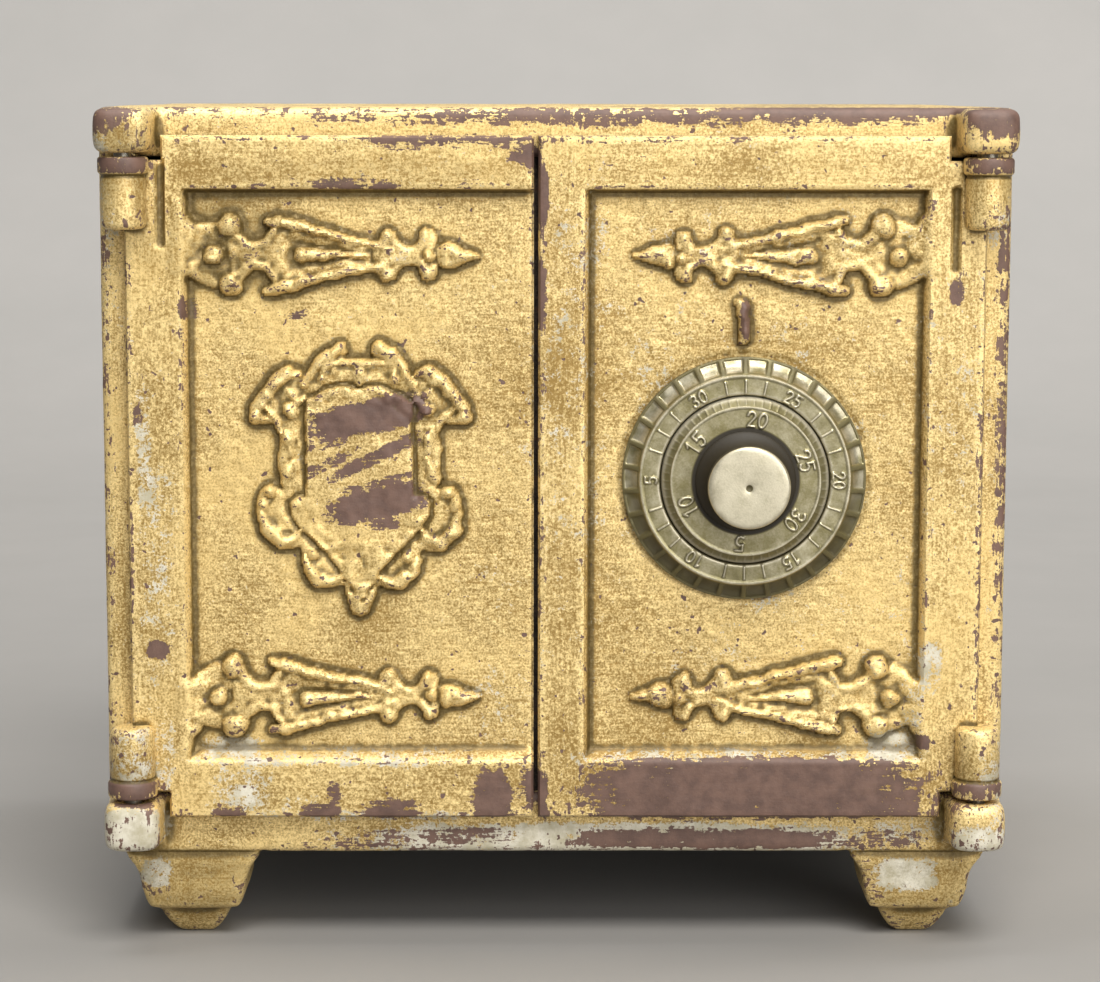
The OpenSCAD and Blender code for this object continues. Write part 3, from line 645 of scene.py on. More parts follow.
def strap_height(u, v):
    """Relief of a strap hinge ornament. u runs from the stile to the leaf tip, and v from
    the centre line towards the nearest rail."""
    root = inside(u, v, [(-2, 10.4), (0.5, 10.4), (1.2, 7.8), (2.8, 5.8), (6.4, 6.6), (9, 5),
                         (10.5, 0), (9, -5), (5.6, -6.6), (2.6, -4.6), (0, -3.2), (-2, -3.2)])
    m = np.abs(v)
    balls = disc(u, m, 8.6, 5.4, 2.4)
    waist = inside(u, v, [(8, -5.6), (18.2, -5.6), (18.2, 5.6), (8, 5.6)])
    waist = np.minimum(waist, -disc(u, m, 14.1, 5.3, 3.0))
    arms = inside(u, v, [(15.5, 2), (16.2, 5.2), (17.4, 6.7), (18.8, 6.7), (35, 2.6),
                         (35, -2.6), (18.8, -6.7), (17.4, -6.7), (16.2, -5.2), (15.5, -2)])
    tail = inside(u, v, [(34, -4.4), (46.4, -4.4), (46.4, 4.4), (34, 4.4)])
    for cx, cz, r in ((41.2, 4.3, 2.5), (33.6, 4.9, 2.2), (48, 4.4, 2.0)):
        tail = np.minimum(tail, -disc(u, m, cx, cz, r))
    body = np.maximum.reduce([balls, waist, arms, tail])
    height = 1.35 * dome(body / 1.1) * (body > 0)
    flare = (2.35 - 1.25 * smooth(u / 5)) * dome(root / 1.9) * (root > 0)
    height = np.maximum(height, flare)
    ground = inside(u, v, [(18.8, 4.2), (34, 1.1), (34, -1.1), (18.8, -4.2), (18.0, 0)])
    height -= 0.5 * smooth(ground / 1.6) * (ground > 0)
    arm = [
        [(15.6, 6.3, 0.9, 1.8), (17.4, 6.0, 1.3, 2.4), (20, 5.4, 1.2, 2.3),
         (27, 3.8, 1.0, 2.2), (35, 2.0, 0.9, 1.9), (38, 0.9, 0.9, 1.7)],
        [(36.2, 1.4, 1.2, 1.7), (37.2, 3.8, 1.3, 2.1)],
        [(43.4, 1.4, 1.1, 1.7), (44.4, 3.5, 1.2, 2.1)],
        [(8.8, 4.8, 1.2, 1.7), (12.4, 1.6, 1.3, 1.7), (15.6, 2.2, 1.1, 1.7),
         (17.0, 4.4, 1.0, 1.8)],
    ]
    height = lay_over(height, u, m, arm, [(8.6, 5.4, 2.3, 2.75)])
    drop = [(22.2, 0, 1.8, 2.5), (24.6, 0, 1.6, 2.3), (29, 0, 0.9, 1.9), (34, 0, 0.5, 1.5)]
    collar = [(47.6, -1.2, 0.9, 2.1), (47.6, 1.2, 0.9, 2.1)]
    leaf = [(47.9, 0, 2.4, 1.9), (49.6, 0, 2.0, 2.2), (51.8, 0, 1.1, 1.9), (53.6, 0, 0.5, 1.4)]
    return lay_over(height, u, v, [drop, collar, leaf],
                    [(5.8, 0, 2.0, 3.0), (44.9, 0, 1.2, 2.6)])


def shield_height(dx, dz):
    """Relief of the scrolled shield round its centre, with its plain plate."""
    m = np.abs(dx)
    frame_outline = mirrored([
        (0.3, 21.5), (2.4, 21.8), (2.2, 24.2), (3.2, 25.0), (5.2, 24.2), (7, 22.3), (9, 19.6),
        (10.6, 18.7), (11.4, 20.2), (13.4, 20.7), (15.8, 19.3), (17.8, 16.8), (19.8, 14.0),
        (20.3, 12.2), (19.6, 10.4), (17.8, 9.6), (16, 9.9), (14.9, 8.6), (14.7, -0.6),
        (14.2, -1.8), (16, -1.6), (17.8, -2.4), (19, -4.2), (19.3, -7), (18.6, -10.2),
        (16.8, -12.4), (14, -13.6), (11.6, -13), (10.9, -14.4), (11, -16.6), (10, -19),
        (7.8, -20.4), (5, -20.6), (3.2, -20), (2.6, -22), (1.6, -25.2), (0.4, -25.9)])
    plate_outline = mirrored([
        (0.3, 16.2), (3.5, 16.6), (6.5, 15.6), (9.7, 14.2), (9.6, -3.4), (11.4, -3.4),
        (12.8, -4.4), (12.8, -6.6), (11.4, -9), (8.4, -12), (4.6, -16), (2.4, -19.2),
        (0.4, -21.4)])
    rim = inside(dx, dz, frame_outline)
    plate = inside(dx, dz, plate_outline)
    height = 1.3 * dome(rim / 1.0) * (rim > 0)
    gutter = smooth(1 - np.abs(plate + 0.5) / 0.7)
    height -= 0.45 * gutter * (rim > 1)
    flat = 1.95 + 0.14 * np.sin(dx * 0.5) * np.sin(dz * 0.3)
    height = np.where(plate > 0, np.maximum(height * (1 - smooth(plate / 0.8)),
                                            flat * dome(plate / 0.6 + 0.3)), height)
    strokes = [
        [(6.3, 18.0, 0.9, 1.8), (6.0, 20.4, 1.1, 2.1), (4.6, 22.6, 1.5, 2.4),
         (3.4, 23.8, 1.3, 2.3), (2.8, 22.9, 0.8, 1.8)],
        [(10.0, 17.1, 0.9, 1.9), (8.6, 19.0, 0.9, 1.9), (7.2, 21.0, 1.1, 2.1),
         (5.6, 22.8, 1.1, 2.1)],
        [(4.4, 20.9, 0.8, 1.9), (0.2, 20.5, 0.9, 1.9)],
        [(10.8, 18.9, 0.8, 1.7), (12.8, 19.2, 1.5, 2.4), (15.1, 17.8, 1.5, 2.4),
         (17.2, 15.1, 1.4, 2.3), (19.0, 13.0, 1.3, 2.2), (18.8, 11.3, 1.3, 2.3),
         (17.4, 10.8, 0.8, 1.8)],
        [(17.0, 12.9, 0.8, 1.8), (15.2, 10.9, 1.0, 1.9), (14.3, 8.6, 0.8, 1.8)],
        [(12.4, 12.7, 1.5, 2.4), (11.2, 14.0, 1.0, 2.1), (10.2, 14.6, 0.7, 1.9)],
        [(13.2, 16.4, 0.8, 1.7), (11.8, 15.2, 0.9, 1.9)],
        [(13.6, 9.4, 0.7, 1.7), (12.8, 7.0, 1.5, 2.3), (12.3, 4.6, 0.8, 1.8)],
        [(12.0, 3.4, 0.8, 1.8), (13.1, 0.9, 1.4, 2.3), (13.9, -1.0, 0.7, 1.7)],
        [(18.3, -6.6, 0.8, 1.8), (17.4, -9.4, 1.5, 2.3), (14.8, -11.7, 1.7, 2.5),
         (12.3, -10.9, 1.2, 2.2), (11.5, -9.6, 0.7, 1.8)],
        [(10.2, -14.8, 0.8, 1.8), (9.6, -17.3, 1.3, 2.2), (7.8, -18.8, 1.6, 2.4),
         (5.4, -19.2, 1.2, 2.1), (3.6, -18.2, 0.8, 1.8)],
    ]
    bosses = [(6.4, 18.0, 1.1, 2.3), (9.9, 17.1, 1.0, 2.2), (16.2, -3.0, 1.5, 2.4),
              (17.7, -5.2, 1.3, 2.3), (8.7, -14.5, 1.3, 2.4), (18.9, 11.4, 1.5, 2.6),
              (12.4, 12.7, 1.7, 2.7)]
    height = lay_over(height, m, dz, strokes, bosses)
    bud = [(0, 20.4, 1.3, 2.1), (0, 18.6, 1.5, 2.3), (0, 17.2, 0.6, 1.7)]
    stem = [(0, -19.4, 2.0, 1.9), (0, -22.8, 1.6, 2.1), (0, -24.8, 1.1, 1.9)]
    return lay_over(height, dx, dz, [bud, stem]) - knob_top(dx, dz, 0.5, -22.4, 0.6, 0.8)


def panel_height(x, z, x0, x1):
    """Height of the rails over the sunk panel; the panel is open where x0 or x1 is None."""
    q = np.minimum((z - PANEL_Z0) / 2.9, (PANEL_Z1 - z) / 0.8)
    if x0 is not None:
        q = np.minimum(q, (x - x0) / 1.5)
    if x1 is not None:
        q = np.minimum(q, (x1 - x) / 1.5)
    return FLOOR_DEPTH * (1 - smooth(q))


def outline_distance(x, z, side, free_x):
    """Distance of each point from the nearest edge of the door."""
    outer = EDGE_X - side * x
    edge = np.minimum.reduce([outer, np.abs(x - free_x), z - DOOR_Z0, DOOR_Z1 - z])
    for corner in (NOTCH_Z0 - z, z - NOTCH_Z1):
        past = np.maximum(NOTCH_X - side * x, -corner)
        edge = np.minimum(edge, np.where(past > 0, past, 0))
    return np.maximum(edge, 0)


def door_relief(x, z, side, free_x):
    """Height of a door's face over its sunk panel."""
    if side < 0:
        height = panel_height(x, z, -STILE_X, None)
    else:
        height = panel_height(x, z, free_x + INNER_STILE, STILE_X)
    ornament = np.zeros(x.shape)
    wx = x + 0.28 * noise_2d(x, z, 1.9, 51) + 0.35 * noise_2d(x, z, 6, 52)
    wz = z + 0.28 * noise_2d(x, z, 1.9, 53) + 0.35 * noise_2d(x, z, 6, 54)
    for s, z0 in ((1, PANEL_Z1 - STRAP_Z), (-1, PANEL_Z0 + STRAP_Z)):
        ornament = np.maximum(ornament, strap_height(STILE_X - side * wx, (wz - z0) * s))
    if side < 0:
        ornament = np.maximum(ornament, shield_height(wx - SHIELD_X, wz - DIAL_Z))
        grooves = [(-71.4, 130.5, 145)]
    else:
        mark = [(DIAL_X - 0.9, DIAL_Z + 32.2, 0.9, 1.5), (DIAL_X, DIAL_Z + 31.4, 1.15, 1.9),
                (DIAL_X, DIAL_Z + 26.2, 1.15, 1.8), (DIAL_X - 0.5, DIAL_Z + 25.4, 0.9, 1.4)]
        ornament = np.maximum(ornament, ridge(wx, wz, mark))
        seat = np.hypot(x - DIAL_X, z - DIAL_Z)
        height -= 0.25 * (1 - smooth((seat - DIAL_SEAT_R) / 0.6))
        grooves = [(72.4, 126, 140)]
    plate = smooth((13 - np.hypot(x - SHIELD_X, (z - DIAL_Z - 1) * 0.85)) / 3)
    rough = (0.15 * noise_2d(x, z, 1.4, 55) + 0.1 * noise_2d(x, z, 3.4, 56)
             + 0.09 * noise_2d(x, z, 0.9, 57))
    ornament *= 1 + (1 - 0.85 * plate) * rough
    ornament = np.maximum(ornament - 0.02, 0)
    height = height + ornament * (1 - height / FLOOR_DEPTH * 0.9)
    for gx, z0, z1 in grooves:
        height -= 1.1 * ridge(x, z, [(gx, z0, 0.9, 0.6), (gx, z1, 0.9, 1.0)])
    sunk = 1 - np.clip(height / FLOOR_DEPTH, 0, 1)
    height += 0.09 * noise_2d(x, z, 14, 5) + 0.05 * noise_2d(x, z, 5, 6)
    height += (0.025 + 0.04 * sunk) * noise_2d(x, z, 1.3, 7)
    height += (0.02 + 0.03 * sunk) * noise_2d(x, z, 0.75, 8)
    edge = outline_distance(x, z, side, free_x)
    shoulder = 0.75
    return height - shoulder * (1 - dome(edge / shoulder))


def make_door(name, node, side, free_x, body):
    """A cast door: face with its ornament, inner part, knuckles and bearing boss."""
    cell = 0.42
    outer, notch = side * EDGE_X, side * NOTCH_X
    xs = steps(sorted([free_x, notch, outer]), cell)
    zs = steps([DOOR_Z0, NOTCH_Z0, NOTCH_Z1, DOOR_Z1], cell)
    gx, gz = np.meshgrid(xs, zs, indexing="ij")
    front = FACE_Y + FLOOR_DEPTH - door_relief(gx, gz, side, free_x)
    cx, cz = np.meshgrid((xs[1:] + xs[:-1]) / 2, (zs[1:] + zs[:-1]) / 2, indexing="ij")
    keep = ~((side * cx > NOTCH_X) & ((cz < NOTCH_Z0) | (cz > NOTCH_Z1)))
    door = relief_slab(name, xs, zs, front, keep, SEAM_Y)

    coarse = 1.3
    ix = steps(sorted([free_x, side * INNER_X]), coarse)
    iz = steps([NOTCH_Z0 + 0.4, NOTCH_Z1 - 0.4], coarse)
    jx, jz = np.meshgrid(ix, iz, indexing="ij")
    depth = FACE_Y + DOOR_BACK + 0.07 * noise_2d(jx, jz, 9, 31) + 0.05 * noise_2d(jx, jz, 2.6, 32)
    edge = np.minimum.reduce([np.abs(jx - ix[0]), np.abs(jx - ix[-1]), jz - iz[0], iz[-1] - jz])
    depth -= 0.6 * (1 - dome(edge / 1.6))
    back = relief_slab("inner", ix, iz, -depth, np.ones((len(ix) - 1, len(iz) - 1), bool),
                       -(SEAM_Y - 0.15))
    back.data.transform(Matrix.Scale(-1, 4, (0, 1, 0)))
    back.data.flip_normals()

    parts = [back, knuckle(side, KNUCKLE_Z0, False),
             knuckle(side, KNUCKLE_Z1 - KNUCKLE_H, True)]
    if side < 0:
        boss_x, boss_z, boss_r, tip, bore = BUTTON_X, BUTTON_Z, 5.0, POST_Y + 6.2, None
    else:
        boss_x, boss_z, boss_r, tip, bore = DIAL_X, DIAL_Z, 11.0, FACE_Y + DOOR_BACK + 2.8, 6.05
    start = FACE_Y + DOOR_BACK - 1
    parts.append(lathe("boss", [(0, start), (boss_r + 1.2, start), (boss_r + 1.0, start + 1.1),
                                (boss_r + 0.3, start + 1.6), (boss_r, start + 2.4),
                                (boss_r, tip - 0.5), (boss_r - 0.5, tip), (0, tip)],
                       (boss_x, 0, boss_z), "Y", 72))
    combine(door, parts, "UNION")
    low_end = box_mm("left_lower_pin")[1][2] + 0.4
    high_end = box_mm("left_upper_pin")[0][2] - 0.4
    cutters = [rod((side * PIN_X, PIN_Y, z0), "Z", z1 - z0, PIN_R + 0.06)
               for z0, z1 in ((KNUCKLE_Z0 - 2, low_end), (high_end, KNUCKLE_Z1 + 2))]
    if bore:
        cutters.append(rod((boss_x, FACE_Y - 3, boss_z), "Y", 16, bore, count=72))
    else:
        cutters.append(rod((boss_x, FACE_Y + DOOR_BACK, boss_z), "Y", 20, 1.7))
    combine(door, cutters, "DIFFERENCE")
    triangulate(door)

    def lacquered(co, normal):
        behind = smooth((co[:, 1] - FACE_Y - 2.4) / 0.9)
        hinge = np.hypot(co[:, 0] - side * PIN_X, co[:, 1] - PIN_Y) < KNUCKLE_R + 0.6
        return np.where(hinge, 0.0, behind)

    weather(door, lacquered)
    finish_piece(door, body, GOLD, node)


def knuckle(side, z0, collar_up):
    """Round hinge knuckle with its collar at the end beside the case lobe."""
    r, h, head = KNUCKLE_R, KNUCKLE_H, 1.3
    big, soft = r + 0.45, 0.5
    profile = [(0, 0), (big - soft, 0), (big - 0.15, 0.15), (big, soft), (big, 2.6),
               (big - 0.15, 2.9), (r + 0.05, 3.1), (r - 0.22, 3.4), (r, 3.9), (r, h - head)]
    profile += [(r - head + head * math.cos(a), h - head + head * math.sin(a))
                for a in (0.4, 0.8, 1.2, math.pi / 2)]
    profile += [(0, h)]
    if collar_up:
        profile = [(q, h - y) for q, y in profile[::-1]]
    return lathe("knuckle", profile, (side * PIN_X, PIN_Y, z0), "Z", 64)


def cover(obj, material):
    obj.data.materials.clear()
    obj.data.materials.append(material)


def finish_piece(obj, body, material, node, angle=38):
    """Gives a piece its smooth shading, material and body, and hides the CAD node that it stands
    for.
    """
    obj.data.shade_smooth()
    obj.data.set_sharp_from_angle(angle=math.radians(angle))
    cover(obj, material)
    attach(obj, body)
    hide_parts(node)


make_door("left_door_casting", "left_door", -1, GAP_X, "left_leaf")
make_door("right_door_casting", "right_door", 1, GAP_X1, "right_leaf")


# -------- case castings

def casting(name, node, voxel, inner, cutters=(), grow=(), groove=None):
    """Cast version of a CAD plate: the same solid with softened edges and a sandy skin.
    The hinge lobes on its front are softened more. grow holds (axis, reach) and closes the
    seams towards the plates beside it. groove(co) is how far each point is pressed in."""
    piece = new_object(name, nodes[node].data.copy())
    step = piece.modifiers.new("voxels", "REMESH")
    step.mode = "VOXEL"
    step.voxel_size = voxel * MM
    apply_all(piece)
    co, _, edges = mesh_arrays(piece)
    soft = spread(co, edges, 0.5, 5)
    lobes = smooth((FRONT_Y - 0.6 - co[:, 1]) / 1.2)[:, None]
    if lobes.any():
        soft = soft * (1 - lobes) + spread(soft, edges, 0.5, 14) * lobes
    for axis, reach in grow:
        low, high = co[:, axis].min(), co[:, axis].max()
        soft[:, axis] += reach * (2 * (co[:, axis] - low) / (high - low) - 1)
    move_vertices(piece, soft)
    skin = (0.05 * noise_3d(soft, 13, 41) + 0.035 * noise_3d(soft, 3.1, 44)
            + 0.03 * noise_3d(soft, 1.4, 47))
    if groove is not None:
        skin -= groove(soft)
    move_vertices(piece, soft + mesh_arrays(piece)[1] * skin[:, None])
    if cutters:
        combine(piece, cutters, "DIFFERENCE")
        triangulate(piece)
    weather(piece, inner)
    finish_piece(piece, "case", GOLD, node)


def pin_bores(z0, z1):
    """Cutters for the hinge pins in the lobes of the top or the base."""
    return [rod((s * PIN_X, PIN_Y, z0), "Z", z1 - z0, PIN_R + 0.12) for s in (-1, 1)]


def inside_top(co, normal):
    return smooth(ROOF_Z + 0.8 - co[:, 2]) * smooth((co[:, 1] - FRONT_Y - 2.2) / 1.5)


def inside_bottom(co, normal):
    over = smooth((co[:, 2] - BASE_Z + 0.8) / 0.8) * smooth((co[:, 1] - FRONT_Y - 2.2) / 1.5)
    under = smooth((BASE_Z - 5.4 - co[:, 2]) / 0.6) * smooth(-normal[:, 2] * 3)
    middle = (np.abs(co[:, 0]) < SIDE_X - 2.5) & (co[:, 1] > FRONT_Y + 2)
    hollow = middle & (co[:, 1] < BACK_Y - 2) & (co[:, 2] > BASE_Z - 5.6)
    return np.maximum(over, np.maximum(under * middle * (co[:, 2] > BASE_Z - 7), hollow * 1.0))


def over_feet(co):
    """Crease between the edge of the base and the tops of the feet."""
    x, y, z = np.abs(co[:, 0]), co[:, 1], co[:, 2]
    line = smooth(1 - np.abs(z - FOOT_TOP_Z) / 1.0) * smooth((x - 53) / 1.5)
    return 0.5 * line * (y > FRONT_Y - 0.4)


def inside_side(co, normal):
    return smooth((SIDE_X - 2.6 - np.abs(co[:, 0])) / 0.9) * smooth((co[:, 1] - FRONT_Y - 0.9) / 1.6)


def inside_back(co, normal):
    return smooth((BACK_Y - 3.6 - co[:, 1]) / 1.6)


casting("top_casting", "top_plate", 0.75, inside_top, pin_bores(ROOF_Z - 8, TOP_Z + 3))
casting("base_casting", "bottom_plate", 0.75, inside_bottom,
        pin_bores(BASE_Z - 3.8, BASE_Z + 8), groove=over_feet)
for hand in ("left", "right"):
    casting(hand + "_side_casting", hand + "_side_panel", 0.8, inside_side, grow=((2, 0.45),))
casting("back_casting", "back_panel", 0.85, inside_back, grow=((0, 0.9), (2, 0.9)))


# -------- dials

# One stroke for each digit, in a cell 1 high
DIGITS = {
    "0": [(0.27 * math.cos(a * math.pi / 7), 0.5 * math.sin(a * math.pi / 7)) for a in range(15)],
    "1": [(-0.14, 0.3), (0.04, 0.5), (0.04, -0.5)],
    "2": [(-0.25, 0.25), (-0.17, 0.43), (0, 0.5), (0.18, 0.42), (0.25, 0.22), (0.14, 0),
          (-0.27, -0.5), (0.28, -0.5)],
    "3": [(-0.23, 0.4), (-0.04, 0.5), (0.16, 0.42), (0.22, 0.24), (0.12, 0.07), (-0.06, 0.02),
          (0.15, -0.05), (0.26, -0.25), (0.16, -0.44), (-0.04, -0.5), (-0.25, -0.38)],
    "5": [(0.23, 0.5), (-0.18, 0.5), (-0.22, 0.06), (0, 0.13), (0.2, 0.02), (0.26, -0.2),
          (0.15, -0.43), (-0.04, -0.5), (-0.26, -0.4)],
}


def turned(angle, clock):
    """Angle from a clock direction in degrees, between -pi and pi."""
    return (angle - math.radians(clock) + math.pi) % (2 * math.pi) - math.pi


def numerals(angle, r, numbers, middle, size, width, height):
    """Relief of the numbers on a dial, upright from its centre."""
    relief = np.zeros(r.shape)
    for text, clock in numbers:
        for k, digit in enumerate(text):
            across = turned(angle, clock) * middle - (k - (len(text) - 1) / 2) * size * 0.8
            near = (np.abs(across) < size) & (np.abs(r - middle) < size)
            points = [(x * size, z * size, width, height) for x, z in DIGITS[digit]]
            relief[near] = lay_over(relief[near], across[near], (r - middle)[near], [points])
    return relief


def off_line(angle, r, count):
    """Distance of each point from the nearest of count radial lines."""
    pitch = 2 * math.pi / count
    return np.abs((angle + pitch / 2) % pitch - pitch / 2) * r


def ticks(angle, r, count, skipped, r0, r1, width, height):
    """Raised radial lines; skipped holds (clock direction, half width in degrees)."""
    relief = height * np.sqrt(np.clip(1 - (off_line(angle, r, count) / width) ** 2, 0, 1))
    relief *= smooth((r - r0) / 0.25) * smooth((r1 - r) / 0.25)
    for clock, half in skipped:
        relief *= np.abs(turned(angle, clock)) > math.radians(half)
    return relief


# Numbers and the clock directions, in degrees, in which they stand
RING_NUMBERS = [("5", 270), ("10", 212), ("15", 150), ("20", 90), ("25", 30), ("30", 330)]
INNER_NUMBERS = [("20", 10), ("25", 71), ("30", 128), ("5", 185), ("10", 246), ("15", 307)]
RIBS = 30  # on the rim of the ring dial
RING_HOLE, RING_FLAT = 15.5, 19.2  # radii where its numbered band starts and ends
RING_BACK = float(box_mm("outer_dial")[1][1])
RING_TOP = FACE_Y - 1.3
INNER_FLAT = 13.65  # radius where the inner dial's flat face ends
INNER_BACK = float(box_mm("inner_dial")[1][1])
INNER_TOP = FACE_Y - 2.9


def rim_cell(angle, r):
    """1 in the sunk cells of the ring dial's rim and 0 on the ribs."""
    off = off_line(angle, r, RIBS)
    return smooth((off - 0.3) / 0.35) * smooth((r - 19.45) / 0.3) * smooth((22.1 - r) / 0.3)


def ring_front(angle, r):
    """y of the front of the ring dial."""
    lift = 0.12 * smooth((r - 18.6) / 0.25) * smooth((19.35 - r) / 0.2)
    lift += ticks(angle, r, RIBS, [(c, 7 if len(t) < 2 else 10) for t, c in RING_NUMBERS],
                  15.7, 18.5, 0.24, 0.26)
    lift = np.maximum(lift, numerals(angle, r, RING_NUMBERS, 17.15, 2.15, 0.24, 0.34))
    lift -= 0.3 * (1 - dome((r - 15.55) / 0.4)) * (r > RING_HOLE)
    flat = RING_TOP - lift
    fall = RING_TOP + 2.3 * ((r - RING_FLAT) / 3.1)
    cell = rim_cell(angle, r)
    centre = 1 - smooth(np.abs(r - 20.7) / 1.5)
    uneven = 0.16 * noise_2d(angle * RIBS / (2 * math.pi), np.full_like(r, 3.7), 1.0, 65)
    fall += cell * (0.42 + 0.34 * centre + uneven)
    front = np.where(r > RING_FLAT, fall, flat)
    seat = RING_BACK - 1.3
    return np.where(r < RING_HOLE, seat, front) + 0.03 * noise_2d(angle * 18, r, 1.6, 61)


def inner_front(angle, r):
    """y of the front of the inner dial."""
    lift = 0.1 * smooth((r - 13.1) / 0.3) * smooth((13.8 - r) / 0.2)
    lift = np.maximum(lift, numerals(angle, r, INNER_NUMBERS, 11.45, 2.6, 0.27, 0.34))
    slope = INNER_TOP + 1.55 * (r - INNER_FLAT) / 1.65
    slope -= ticks(angle, r, 60, [], 13.8, 15.1, 0.17, 0.14)
    front = np.where(r > INNER_FLAT, slope, INNER_TOP - lift)
    front = front + 0.35 * (1 - dome((15.3 - r) / 0.35))
    return front + 0.02 * noise_2d(angle * 12, r, 2.2, 63) + 0.06 * np.sin(angle * 2 + 1)


def make_dial(name, node, body, radii, back, front, count):
    """Dial disc: radii run outwards over its front, and its back is flat."""
    hole, rim = radii[0], radii[-1]
    profile = [(hole, back)] + [(r, back - 1) for r in radii] + [(rim, back)]

    def shape(angle, r, h):
        return np.where(h < back - 0.5, front(angle, r), h)

    dial = lathe(name, profile, (DIAL_X, 0, DIAL_Z), "Y", count, shape)
    weather(dial, grime_and_shade=0.1, fronted=False)
    co = mesh_arrays(dial)[0]
    r = np.hypot(co[:, 0] - DIAL_X, co[:, 2] - DIAL_Z)
    grime_and_shade = read_layer(dial, "grime_and_shade")
    # painted shadow: dark ring round the base of the knob, inside radius 10.1
    grime_and_shade += 1.3 * smooth((10.1 - r) / 0.5)
    grime_and_shade += 0.3 * ((r > 13.7) & (r < 15.6) & (rim < RING_HOLE))
    cell = rim_cell(np.arctan2(co[:, 0] - DIAL_X, co[:, 2] - DIAL_Z), r)
    # On the rim: ribs darker than the sunk cells, painted highlights with random bright patches in
    # the cells, and painted shade on the cells of the lower half
    on_rim = r > 19.35
    shaded_low_half = smooth((DIAL_Z + 8 - co[:, 2]) / 20)
    grime_and_shade = np.where(on_rim, 0.52 - 0.36 * cell + 0.5 * shaded_low_half * cell, grime_and_shade)
    write_layer(dial, "grime_and_shade", grime_and_shade)
    facet_glint = noise_2d(co[:, 0], co[:, 2], 1.6, 67)
    crest_and_sheen = np.where(on_rim, cell * (0.22 + 0.3 * facet_glint), 0.7 * read_layer(dial, "crest_and_sheen"))
    write_layer(dial, "crest_and_sheen", crest_and_sheen)
    finish_piece(dial, body, NICKEL, node, angle=50)


make_dial("ring_dial_disc", "outer_dial", "ring_dial",
          [*steps([6.0, 15.4], 3), *steps([15.55, RING_FLAT], 0.16),
           *steps([19.3, 22.0], 0.22), 22.2, 22.3], RING_BACK, ring_front, 720)
make_dial("inner_dial_disc", "inner_dial", "centre_dial",
          [*steps([4.0, 9.1], 2.5), *steps([9.3, INNER_FLAT], 0.17),
           *steps([13.8, 15.3], 0.18)], INNER_BACK, inner_front, 600)


def make_knob():
    """Turned knob with a hollow flank and a polished face with a centre dot. Its profile is
    given as radius and height over the inner dial."""
    top = INNER_TOP
    flank = [(9.2, 0), (9.2, 0.45), (8.95, 0.75), (8.2, 1.15), (7.5, 1.9), (7.0, 2.9),
             (6.85, 3.9), (6.9, 4.9), (7.05, 5.9), (7.3, 6.9), (7.45, 7.6), (7.5, 8.2),
             (7.5, 9.3), (7.42, 9.65), (7.2, 9.92), (6.9, 10.04), (6.2, 10.08), (5, 10.1),
             (3.5, 10.1), (2, 10.08), (0.9, 10.05), (0.5, 9.95), (0.3, 9.75), (0, 9.7)]
    profile = [(0, top - 6), (4.0, top - 6), (4.0, top)] + [(r, top - h) for r, h in flank]

    def shape(angle, r, h):
        return h + 0.05 * noise_2d(angle * 5, r, 2.4, 71) * (r > 6) * (h < top - 9)

    knob = lathe("knob_turning", profile, (DIAL_X, 0, DIAL_Z), "Y", 120, shape)
    smooth_faces = knob.modifiers.new("fine", "SUBSURF")
    smooth_faces.levels = smooth_faces.render_levels = 1
    apply_all(knob)
    weather(knob, fronted=False)
    co = mesh_arrays(knob)[0]
    face = smooth((KNOB_Y + 0.75 - co[:, 1]) / 0.4)
    centre = np.hypot(co[:, 0] - DIAL_X, co[:, 2] - DIAL_Z)
    # flank darkened with dirt and painted shade; dark dot at the centre
    write_layer(knob, "grime_and_shade", 1.3 * (1 - face) + 0.9 * (centre < 0.55) * face)
    write_layer(knob, "crest_and_sheen", face * 0.38)
    finish_piece(knob, "centre_dial", NICKEL, "knob")


make_knob()


# -------- small parts from the frame

def keep_part(node, material, bevel):
    """A CAD node that stays: its edges are softened and it gets an aged finish."""
    obj = nodes[node]
    cover(obj, material)
    obj.modifiers.new("weld", "WELD").merge_threshold = 0.002 * MM
    step = obj.modifiers.new("edges", "BEVEL")
    step.width = bevel * MM
    step.segments = 2
    step.limit_method = "ANGLE"
    step.angle_limit = math.radians(40)
    step.harden_normals = True


for part in ("back_screws", "tie_rods", "lock_post_screw", "lock_catch", "catch_screws",
             "left_upper_pin", "left_lower_pin", "right_upper_pin", "right_lower_pin",
             "button_washer", "button_screw", "outer_sleeve", "outer_washer", "spindle",
             "spacer_washer", "spindle_nut"):
    keep_part(part, STEEL, 0.15)
for part in ("lock_post", "turn_button", "outer_tumbler", "inner_tumbler"):
    keep_part(part, IRON, 0.25)


# -------- stage, lights and camera

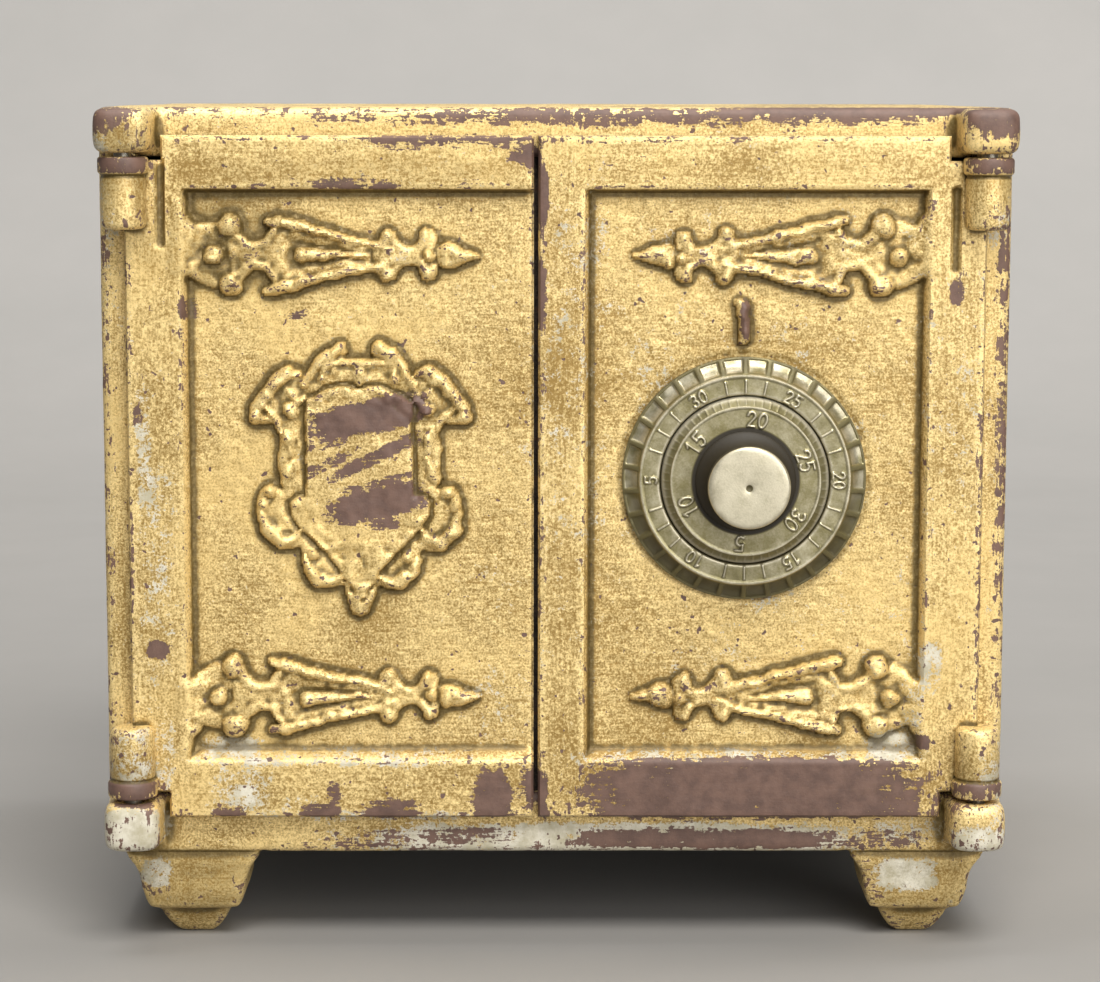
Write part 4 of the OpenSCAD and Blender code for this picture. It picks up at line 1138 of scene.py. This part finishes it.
def make_backdrop():
    """Pale floor that curves up into a wall."""
    bend, far = 0.5, 1.1
    profile = [(-4.0, 0.0), (far - bend, 0.0)]
    profile += [(far - bend + bend * math.sin(a), bend - bend * math.cos(a))
                for a in np.linspace(0.1, math.pi / 2, 14)]
    profile += [(far, 3.2)]
    verts = [(x, y, z) for y, z in profile for x in (-4.0, 4.0)]
    faces = [(2 * k, 2 * k + 1, 2 * k + 3, 2 * k + 2) for k in range(len(profile) - 1)]
    backdrop = mesh_object("backdrop", np.array(verts) / MM, faces)
    backdrop.data.shade_smooth()
    g = Graph("studio_paper")
    colour = g.mix(g.noise(60, 3, 0.6), rgb(132, 130, 126), rgb(140, 137, 133))
    backdrop.data.materials.append(g.finish(colour, 0.85, 0.0, g.noise(2, 3), 0.03, 0.2))


def area_light(name, place, target, size, watts, colour, spread=180):
    data = bpy.data.lights.new(name, "AREA")
    data.shape = "RECTANGLE"
    data.size, data.size_y = size
    data.energy = watts
    data.color = colour
    data.spread = math.radians(spread)
    light = new_object(name, data)
    light.location = place
    light.rotation_euler = (Vector(target) - Vector(place)).to_track_quat("-Z", "Y").to_euler()


def make_camera():
    """Camera a little above the bank and almost square to its front."""
    data = bpy.data.cameras.new("camera")
    data.sensor_fit = "HORIZONTAL"
    data.angle = math.radians(20.48)
    data.clip_start, data.clip_end = 0.01, 20
    camera = new_object("camera", data)
    yaw, pitch, roll = math.radians(0.33), math.radians(7.51), math.radians(0.09)
    forward = Vector((math.sin(yaw) * math.cos(pitch), math.cos(yaw) * math.cos(pitch),
                      -math.sin(pitch)))
    right = forward.cross(Vector((0, 0, 1))).normalized()
    up = right.cross(forward)
    right, up = (right * math.cos(roll) + up * math.sin(roll),
                 up * math.cos(roll) - right * math.sin(roll))
    place = Matrix.Translation((-0.0042, -0.6053, 0.1581))
    camera.matrix_world = place @ Matrix((right, up, -forward)).transposed().to_4x4()
    scene.camera = camera


make_backdrop()
make_camera()
target = (0, 0, 0.08)
area_light("overhead_softbox", (0.14, -0.72, 1.06), target, (0.7, 0.5), 16.5, (1, 0.98, 0.95))
area_light("front_fill", (0.65, -1.4, 0.5), target, (1.4, 1.0), 16.3, (1, 0.99, 0.97))
area_light("wall_wash", (0.35, 0.3, 1.9), (0.1, 1.3, 0.3), (2.4, 0.8), 34, (1, 1, 1), 112)
world = bpy.data.worlds.new("studio")
world.use_nodes = True
background = world.node_tree.nodes["Background"].inputs
background["Color"].default_value = (0.9, 0.93, 1, 1)
background["Strength"].default_value = 0.2
scene.world = world
scene.view_settings.view_transform = "Standard"
